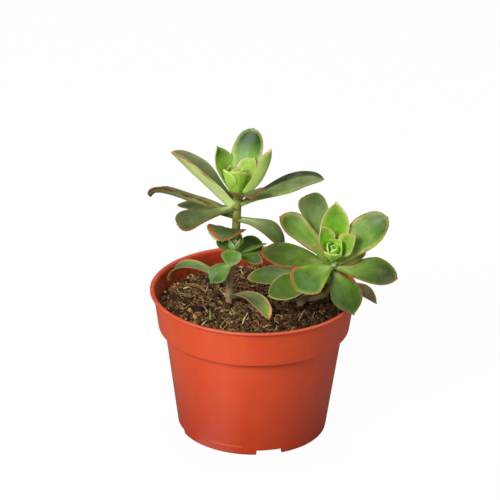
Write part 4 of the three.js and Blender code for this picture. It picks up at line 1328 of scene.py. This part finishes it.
# %% [markdown]
# ## The potting mix
#
# The mix is one body from the pot's floor to a rolling top. The top is a fine net of rings, pushed up and
# down by noise of three sizes, so that it is lumpy before any loose grain lies on it. A copy of the top
# alone says where loose grains may lie and where moss grows.

# %% Mix body
MIX_EDGE_DROP = 1.5
MIX_RELIEF = 0.5
MIX_AROUND = 180
MIX_RINGS = 74
FLOOR_GAP = 0.3
WALL_GAP = 0.4
inset = WALL + WALL_GAP
edge_level = MIX_LEVEL - MIX_EDGE_DROP
climbed = (edge_level - BAND_FOOT) / (rim_under - BAND_FOOT)
edge_radius = BAND_FOOT_RADIUS + (BAND_TOP_RADIUS - BAND_FOOT_RADIUS) * climbed - inset


def mix_height(x, y):
    """The level of the mix at a spot, in millimetres: the rolling form, then lumps and crumbs."""
    share = min(math.hypot(x, y) / edge_radius, 1)
    swell = math.sin(x * 0.31 + 1.2) * math.cos(y * 0.27) + 0.6 * math.sin(x * 0.73 - y * 0.61)
    form = MIX_LEVEL - MIX_EDGE_DROP * share**3 + MIX_RELIEF * swell * (1 - share * share)
    lumps = noise.noise((x * 0.16, y * 0.16, 3)) * 0.9 + noise.noise((x * 0.45, y * 0.45, 8)) * 0.7
    return form + lumps + noise.noise((x * 1.3, y * 1.3, 5)) * 0.35


buried = [
    (1, WALL + FLOOR_GAP), (PAD_RADIUS - 1.6, WALL + FLOOR_GAP),
    (PAD_RADIUS - 0.7, plate + FLOOR_GAP), (BODY_FOOT_RADIUS - inset, plate + FLOOR_GAP),
    (BODY_TOP_RADIUS - inset, BAND_FOOT + WALL + FLOOR_GAP),
    (BAND_FOOT_RADIUS - inset, BAND_FOOT + WALL + FLOOR_GAP),
]
headings = [2 * math.pi * k / MIX_AROUND for k in range(MIX_AROUND)]
circle = [(math.cos(heading), math.sin(heading)) for heading in headings]
solid_rings = [[(r * c, r * s, z) for c, s in circle] for r, z in buried]
top_radii = [edge_radius * (1 - k / MIX_RINGS) for k in range(MIX_RINGS)]
top_rings = [[(r * c, r * s, mix_height(r * c, r * s)) for c, s in circle] for r in top_radii]
mix = show("mix_body", skin_over("mix_body", np.array(solid_rings + top_rings)))
print("mix volume:", round(volume_of(mix.data) / 1000), "cubic centimetres")
print("edge radius of the mix:", round(edge_radius, 1))

# %% Top of the mix and its moss
MOSS_PIXELS = [(222, 318), (196, 280), (236, 334), (318, 330)]
MOSS_REACH = 7.0
TOP_DEPTH = 8
moss_places = np.array([pixel_on_level(pixel, MIX_LEVEL)[:2] for pixel in MOSS_PIXELS])


def top_of_mix():
    """The upper side of the mix alone, with the share of moss stored at each point."""
    surface = bpy.data.meshes.new("mix_top")
    bm = bmesh.new()
    bm.from_mesh(mix.data)
    lowest = (MIX_LEVEL - TOP_DEPTH) * MM
    below = [f for f in bm.faces if f.normal.z < 0.05 or f.calc_center_median().z < lowest]
    bmesh.ops.delete(bm, geom=below, context="FACES")
    bm.to_mesh(surface)
    bm.free()
    places = np.array([v.co for v in surface.vertices])[:, :2] / MM
    squares = ((places[:, None] - moss_places[None]) ** 2).sum(2)
    store(surface, "moss", np.exp(-squares / MOSS_REACH**2).max(1))
    return surface


surface = top_of_mix()
print("faces for loose grains:", len(surface.polygons))

# %% [markdown]
# ## Loose grains, fibres and moss
#
# Peat is a litter of crumbs and torn fibres, and it never looks like a lumpy sheet. Two small node trees
# strew them over the top of the mix. The first sows grains: points on the surface, a stone on each, turned
# and sized at random, then knocked out of round by noise. The second sows strands: straight lines that
# noise bends before they get their thickness. Each grain and strand keeps a random shade, which its
# material turns into colour. What would reach into the pot's wall is pressed against it.

# %% Helpers for geometry nodes
def chance(tree, low, high, seed_socket, kind="FLOAT", add_to_seed=0):
    """A random number, or three with kind FLOAT_VECTOR, between low and high."""
    shifted = maths(tree, "ADD", seed_socket, float(add_to_seed))
    node = add(tree, "FunctionNodeRandomValue", data_type=kind)
    first = 0 if kind == "FLOAT_VECTOR" else 2
    fill(node, tree, {first: low, first + 1: high, "Seed": shifted})
    return node.outputs[0 if kind == "FLOAT_VECTOR" else 1]


def shake(tree, geometry, scale, depth):
    """Every point moved by up to half of depth, in lumps of 1/scale metres."""
    spot = add(tree, "GeometryNodeInputPosition").outputs[0]
    cloud = add(tree, "ShaderNodeTexNoise", {"Vector": spot, "Scale": scale, "Detail": 1.0})
    centred = vector_maths(tree, "SUBTRACT", cloud.outputs["Color"], (0.5, 0.5, 0.5))
    offset = vector_maths(tree, "MULTIPLY", centred, depth)
    return add(tree, "GeometryNodeSetPosition", {"Geometry": geometry, "Offset": offset}).outputs[0]


def shaded_points(tree, given):
    """Points strewn on the surface, or on its mossy part alone, each with its random shade."""
    mossy = add(tree, "GeometryNodeInputNamedAttribute", {"Name": "moss"}, data_type="FLOAT").outputs[0]
    kept = add(tree, "ShaderNodeMapRange", {0: given["Only Moss"], 3: 1.0, 4: mossy}).outputs[0]
    strewn = add(tree, "GeometryNodeDistributePointsOnFaces", {
        "Mesh": given["Geometry"], "Density": times(tree, given["Density"], kept), "Seed": given["Seed"],
    }).outputs["Points"]
    shade = chance(tree, 0.0, 1.0, given["Seed"], add_to_seed=11)
    stored = add(tree, "GeometryNodeStoreNamedAttribute", data_type="FLOAT", domain="POINT")
    return fill(stored, tree, {"Geometry": strewn, "Name": "shade", "Value": shade}).outputs[0]


def press_to_wall(tree, geometry, reach):
    """Every point that lies further from the axis than reach, brought in to it."""
    spot = add(tree, "GeometryNodeInputPosition").outputs[0]
    from_axis = vector_maths(tree, "LENGTH", vector_maths(tree, "MULTIPLY", spot, (1, 1, 0)))
    share = maths(tree, "MINIMUM", maths(tree, "DIVIDE", reach, from_axis), 1.0)
    inwards = add(tree, "ShaderNodeCombineXYZ", {0: share, 1: share, 2: 1.0}).outputs[0]
    pressed = vector_maths(tree, "MULTIPLY", spot, inwards)
    return add(tree, "GeometryNodeSetPosition", {"Geometry": geometry, "Position": pressed}).outputs[0]


FULL_TURN = 6.28
STRAND_POINTS = 7
STREWN_REACH = (edge_radius + 0.2) * MM
STREWN_INPUTS = {
    "Geometry": ("Geometry", None), "Density": ("Float", 1.0), "Seed": ("Int", 1),
    "Only Moss": ("Float", 0.0), "Reach": ("Float", STREWN_REACH), "Material": ("Material", None),
}
print("helpers for strewing ready")

# %% Tree for grains
GRAIN_INPUTS = {
    **STREWN_INPUTS, "Smallest": ("Float", 0.0003), "Largest": ("Float", 0.001),
    "Lumpiness": ("Float", 0.0005), "Fineness": ("Int", 1),
}
grains, grains_in, grains_out = new_group(
    "strew_grains", "GeometryNodeTree", GRAIN_INPUTS, {"Geometry": "Geometry"}
)
given = grains_in.outputs
points = shaded_points(grains, given)
round_stone = {"Radius": 1.0, "Subdivisions": given["Fineness"]}
stone = add(grains, "GeometryNodeMeshIcoSphere", round_stone).outputs[0]
any_way = chance(grains, (0, 0, 0), (FULL_TURN, FULL_TURN, FULL_TURN), given["Seed"], "FLOAT_VECTOR", 2)
squash = chance(grains, (0.6, 0.6, 0.45), (1.3, 1.3, 0.9), given["Seed"], "FLOAT_VECTOR", 3)
rare = maths(grains, "POWER", chance(grains, 0.0, 1.0, given["Seed"], add_to_seed=4), 2.5)
size = add(grains, "ShaderNodeMapRange", {0: rare, 3: given["Smallest"], 4: given["Largest"]}).outputs[0]
sized = vector_maths(grains, "MULTIPLY", squash, size)
placed = add(grains, "GeometryNodeInstanceOnPoints", {
    "Points": points, "Instance": stone, "Rotation": any_way, "Scale": sized,
}).outputs[0]
real = add(grains, "GeometryNodeRealizeInstances", {"Geometry": placed}).outputs[0]
uneven = shake(grains, real, 950.0, given["Lumpiness"])
hand_out(grains, grains_out, press_to_wall(grains, uneven, given["Reach"]), given["Material"])
print("grains:", len(grains.nodes), "nodes")

# %% Tree for strands
STRAND_INPUTS = {
    **STREWN_INPUTS, "Shortest": ("Float", 0.002), "Longest": ("Float", 0.006),
    "Width": ("Float", 0.0002), "Flatness": ("Float", 0.5), "Bend": ("Float", 0.003),
    "Tilt": ("Float", 0.3), "Lift": ("Float", 0.0002),
}
strands, strands_in, strands_out = new_group(
    "strew_strands", "GeometryNodeTree", STRAND_INPUTS, {"Geometry": "Geometry"}
)
given = strands_in.outputs
points = shaded_points(strands, given)
unit_line = {"Start": (-0.5, 0, 0), "End": (0.5, 0, 0)}
line = add(strands, "GeometryNodeCurvePrimitiveLine", unit_line).outputs[0]
line = add(strands, "GeometryNodeResampleCurve", {"Curve": line, "Count": STRAND_POINTS}).outputs[0]
leaning = times(strands, chance(strands, -1.0, 1.0, given["Seed"], add_to_seed=5), given["Tilt"])
compass = chance(strands, 0.0, FULL_TURN, given["Seed"], add_to_seed=6)
turned = add(strands, "ShaderNodeCombineXYZ", {0: 0.0, 1: leaning, 2: compass}).outputs[0]
length = chance(strands, given["Shortest"], given["Longest"], given["Seed"], add_to_seed=7)
laid = add(strands, "GeometryNodeInstanceOnPoints", {
    "Points": points, "Instance": line, "Rotation": turned, "Scale": length,
}).outputs[0]
real = add(strands, "GeometryNodeRealizeInstances", {"Geometry": laid}).outputs[0]
bent = shake(strands, real, 260.0, given["Bend"])
lift = add(strands, "ShaderNodeCombineXYZ", {2: given["Lift"]}).outputs[0]
raised = add(strands, "GeometryNodeSetPosition", {"Geometry": bent, "Offset": lift}).outputs[0]
square = {"Resolution": 4, "Radius": given["Width"]}
ring = add(strands, "GeometryNodeCurvePrimitiveCircle", square).outputs[0]
squeeze = add(strands, "ShaderNodeCombineXYZ", {0: 1.0, 1: given["Flatness"], 2: 1.0}).outputs[0]
ring = add(strands, "GeometryNodeTransform", {"Geometry": ring, "Scale": squeeze}).outputs[0]
tubes = add(strands, "GeometryNodeCurveToMesh", {
    "Curve": raised, "Profile Curve": ring, "Fill Caps": True,
}).outputs[0]
hand_out(strands, strands_out, press_to_wall(strands, tubes, given["Reach"]), given["Material"])
print("strands:", len(strands.nodes), "nodes")

# %% [markdown]
# Every loose piece shares one way of colouring: its shade picks a place between a dark and a light colour,
# and a little noise breaks that up. The body of the mix is the colour of the darkest crumbs, so no seam
# shows. All of it is made a little warmer, and the side rosette's shadow is painted on the right as a
# darker tone.

# %% Soil materials
WARM_PEAT = paint("f3e8d2")
PEAT_SHADOW = paint("97887c")
DARK_PEAT = paint("1f130b")
BROWN_PEAT = paint("49341f")
TAN_GRIT = paint("7a6044")


def warmed_and_shaded(tree, place, colour):
    """The colour, a little warmer, with the side rosette's shadow painted darker to the right."""
    across = add(tree, "ShaderNodeSeparateXYZ", {0: place}).outputs["X"]
    warm = blend(tree, 1.0, colour, WARM_PEAT, "MULTIPLY")
    # Painted shadow: darker towards the right, under the side rosette.
    return blend(tree, ramp(tree, across, -0.002, 0.03, 0.0, 0.8), warm, PEAT_SHADOW, "MULTIPLY")


def soil_material(name, dark, light, rarest, rough=0.9, bump=0.0002):
    """From dark to light by each grain's own shade, with the rarest colour on a few."""
    material, tree, principled = new_material(name, Specular_IOR_Level=0.25, Roughness=rough)
    place = add(tree, "ShaderNodeTexCoord").outputs["Object"]
    shade = attribute(tree, "shade")
    speckle = grain(tree, place, 1500, 4, 0.7)
    mixed = maths(tree, "ADD", times(tree, shade, 0.75), times(tree, speckle, 0.3))
    body = blend(tree, ramp(tree, mixed, 0.15, 0.95), paint(dark), paint(light))
    few = blend(tree, ramp(tree, shade, 0.93, 0.96), body, paint(rarest))
    tree.links.new(warmed_and_shaded(tree, place, few), principled.inputs["Base Color"])
    raise_bump(tree, principled, speckle, bump)
    return material


body_material, tree, principled = new_material("mix_peat", Specular_IOR_Level=0.2, Roughness=0.95)
place = add(tree, "ShaderNodeTexCoord").outputs["Object"]
coarse = grain(tree, place, 420, 6, 0.7)
fine_grit = grain(tree, place, 1800, 4, 0.7)
peat = blend(tree, ramp(tree, coarse, 0.35, 0.65), DARK_PEAT, BROWN_PEAT)
peat = blend(tree, ramp(tree, fine_grit, 0.55, 0.75, 0.0, 0.5), peat, TAN_GRIT)
tree.links.new(warmed_and_shaded(tree, place, peat), principled.inputs["Base Color"])
raise_bump(tree, principled, maths(tree, "ADD", coarse, times(tree, fine_grit, 0.5)), 0.0008)
mix.data.materials.append(body_material)
settle(mix, "potting_mix", "potting_mix")

lump_peat = soil_material("lump_peat", "1c110a", "5c4029", "7a5c3e", bump=0.0006)
crumb_peat = soil_material("crumb_peat", "22150d", "866444", "b3936a")
fibre_peat = soil_material("fibre_peat", "4c3220", "c09c6c", "e0cc9e")
pale_straw = soil_material("straw_pale", "a38a5c", "d9c594", "efe3bd", 0.7)
pale_grit = soil_material("pale_grit", "b9a583", "e5dac0", "f2ecdc", 0.8)
green_moss = soil_material("moss_green", "2d4015", "5f7a28", "8a9a3c", 0.8)
print("soil materials ready, the body's has", len(tree.nodes), "nodes")

# %% Strew the loose pieces
LOOSE = {
    "peat_lumps": (grains, lump_peat, {
        "Density": 26000.0, "Seed": 31, "Smallest": 0.0009, "Largest": 0.0026, "Lumpiness": 0.0026,
        "Fineness": 2,
    }),
    "peat_crumbs": (grains, crumb_peat, {
        "Density": 720000.0, "Seed": 3, "Smallest": 0.00035, "Largest": 0.0016, "Lumpiness": 0.0009,
    }),
    "peat_fibres": (strands, fibre_peat, {
        "Density": 230000.0, "Seed": 5, "Shortest": 0.0015, "Longest": 0.006, "Width": 0.00016,
        "Flatness": 0.6, "Bend": 0.005, "Tilt": 0.35, "Lift": 0.0004,
    }),
    "pale_straws": (strands, pale_straw, {
        "Density": 9000.0, "Seed": 8, "Shortest": 0.004, "Longest": 0.01, "Width": 0.00032,
        "Flatness": 0.3, "Bend": 0.004, "Tilt": 0.3, "Lift": 0.0007,
    }),
    "pale_crumbs": (grains, pale_grit, {
        "Density": 14000.0, "Seed": 13, "Smallest": 0.0003, "Largest": 0.0010, "Lumpiness": 0.0006,
    }),
    "moss_cushions": (grains, green_moss, {
        "Density": 2600000.0, "Seed": 21, "Only Moss": 1.0, "Smallest": 0.00015, "Largest": 0.0005,
        "Lumpiness": 0.0004,
    }),
    "moss_blades": (strands, green_moss, {
        "Density": 1500000.0, "Seed": 22, "Only Moss": 1.0, "Shortest": 0.0008, "Longest": 0.0022,
        "Width": 0.00009, "Flatness": 0.5, "Bend": 0.0012, "Tilt": 1.3, "Lift": 0.0003,
    }),
}
for name, (tree, material, values) in LOOSE.items():
    settle(grow(name, surface.copy(), tree, values, material), "potting_mix")

# %% [markdown]
# A few pieces in the photograph are big enough to know again: a pale blade that stands upright, white
# sticks, a straw bent over like a gable, a loop of root, a bundle of bast and three chunks of bark. Each
# is drawn through named pixels of the photograph, and the camera's own rays bring those down to the level
# of the mix. A straw's row gives its points: the pixel across and down, how far above the mix it is, and
# the half width there. A chunk's row gives its pixel, its half sizes, its dark, light and rarest paints,
# and the depth of its relief.

# %% Placed straws and chunks
STRAWS = {
    "standing_blade": [(210.5, 322, -0.5, 0.5), (210.2, 316, 2.9, 0.45), (209.6, 309, 6.6, 0.12)],
    "white_stick": [(242.4, 324, 0, 0.3), (244.2, 319, 1.6, 0.34), (247.7, 313.4, 2.6, 0.62)],
    "white_splinter": [(201.8, 325.4, 0.4, 0.34), (204.2, 322.6, 1.2, 0.4), (206.8, 320.2, 0.8, 0.2)],
    "gable_left": [(298.6, 321, -0.3, 0.32), (301, 315.6, 2.6, 0.3), (304.2, 310.2, 5, 0.26)],
    "gable_right": [(304.2, 310.2, 5, 0.26), (306.8, 313.6, 3, 0.28), (309.4, 317.4, 0, 0.2)],
    "root_loop": [
        (275, 322.4, 0, 0.16), (274.6, 317.8, 1.2, 0.2), (278, 315, 1.9, 0.2), (281.6, 317, 1.6, 0.18),
        (281, 321.4, 0.4, 0.12),
    ],
    "low_straw": [(263, 327.6, 0.2, 0.2), (268, 325.4, 1, 0.26), (274, 325.6, 0.2, 0.14)],
    "pale_chip": [(183, 289, 0.6, 0.3), (187, 287.4, 1.4, 0.6), (191, 288, 0.6, 0.26)],
}
STRAW_STEP = 0.3
FEWEST_STRAW_RINGS = 8
BAST_PIXELS = ((185, 284), (204, 288))
BAST_COUNT = 9
BAST_WIDTH = 0.17
CHUNKS = {
    "tan_bark": ((286.7, 301), (1.5, 1.0, 0.9), ("8a6a45", "c9a878", "dcc196"), 0.0005),
    "red_bark": ((292, 313), (2.3, 2.0, 1.9), ("3c1f14", "73462f", "8c5c40"), 0.0006),
    "dark_bark": ((177, 296), (1.7, 1.2, 1.0), ("2e1d12", "5c3f28", "74573a"), 0.0006),
}


def spot_of(pixel, lift):
    """The place in millimetres that a pixel shows, that far above the level of the mix."""
    return tuple(pixel_on_level(pixel, MIX_LEVEL + lift))


def strand_mesh(name, points, shade, around=8, flatness=0.55):
    """A flattened strand through points of x, y, z and half width, with one shade."""
    steps = max(FEWEST_STRAW_RINGS, int(smooth_course(points, 2)[1] / STRAW_STEP))
    course, _ = smooth_course(points, steps)
    ahead = np.gradient(course[:, :3], axis=0)
    ahead /= np.linalg.norm(ahead, axis=1)[:, None]
    side = np.cross(ahead, [0.3, 1, 0.2])
    side /= np.linalg.norm(side, axis=1)[:, None]
    front = np.cross(ahead, side) * flatness
    turn = 2 * math.pi * np.arange(around) / around
    spread = side[:, None, :] * np.cos(turn)[:, None] + front[:, None, :] * np.sin(turn)[:, None]
    mesh = skin_over(name, course[:, None, :3] + spread * course[:, 3][:, None, None])
    store(mesh, "shade", np.full(len(mesh.vertices), shade))
    return mesh


def chunk_mesh(name, centre, size, seed_shift):
    """A stone-like lump knocked out of round by noise."""
    bm = bmesh.new()
    bmesh.ops.create_icosphere(bm, subdivisions=4, radius=1)
    for v in bm.verts:
        out = v.co.normalized()
        rough = 1 + 0.4 * noise.noise(out * 1.3 + Vector((seed_shift, 0, 0))) + 0.14 * noise.noise(out * 5)
        v.co = Vector(centre) * MM + Vector([a * b * rough * MM for a, b in zip(out, size)])
    mesh = bpy.data.meshes.new(name)
    bm.to_mesh(mesh)
    bm.free()
    mesh.polygons.foreach_set("use_smooth", [True] * len(mesh.polygons))
    store(mesh, "shade", np.full(len(mesh.vertices), 0.5))
    return mesh


def placed_piece(name, mesh, finish):
    """One straw or chunk, settled on the mix."""
    settle(show(name, mesh, finish), "potting_mix")


print("straws and chunks to place:", len(STRAWS) + BAST_COUNT + len(CHUNKS))

# %% Place the straws
green_blade = soil_material("young_blade", "8f9a4a", "c9cf86", "dfe0a8", 0.5)
white_straw = soil_material("white_straw", "d8ccab", "f4ecd4", "fffaf0", 0.6)
straw_finishes = {"standing_blade": green_blade, "white_stick": white_straw, "white_splinter": white_straw}
for k, (name, spots) in enumerate(STRAWS.items()):
    points = [(*spot_of((x, y), lift), half_width) for x, y, lift, half_width in spots]
    placed_piece(name, strand_mesh(name, points, 0.3 + 0.08 * k), straw_finishes.get(name, pale_straw))

draw = random.Random(12)
(x0, y0), (x1, y1) = BAST_PIXELS
for k in range(BAST_COUNT):
    jog = [draw.uniform(-1, 1) for _ in range(6)]
    start = (x0 + 2 * jog[0], y0 + 2 * jog[1])
    arch = ((x0 + x1) / 2 + jog[2], (y0 + y1) / 2 + 1.6 * jog[3] - 1)
    end = (x1 + 2 * jog[4], y1 + 2.4 * jog[5])
    spots = ((start, 0.5), (arch, 1.2), (end, 0.4))
    points = [(*spot_of(pixel, lift), BAST_WIDTH) for pixel, lift in spots]
    placed_piece(f"bast_{k}", strand_mesh(f"bast_{k}", points, draw.uniform(0.3, 0.9)), fibre_peat)
print("straws:", len(STRAWS), "and strands of bast:", BAST_COUNT)

# %% Place the chunks of bark
for k, (name, (pixel, size, paints, bump)) in enumerate(CHUNKS.items()):
    mesh = chunk_mesh(name, spot_of(pixel, 0.4), size, 7.3 * k)
    placed_piece(name, mesh, soil_material(name, *paints, bump=bump))
print("chunks of bark:", len(CHUNKS))
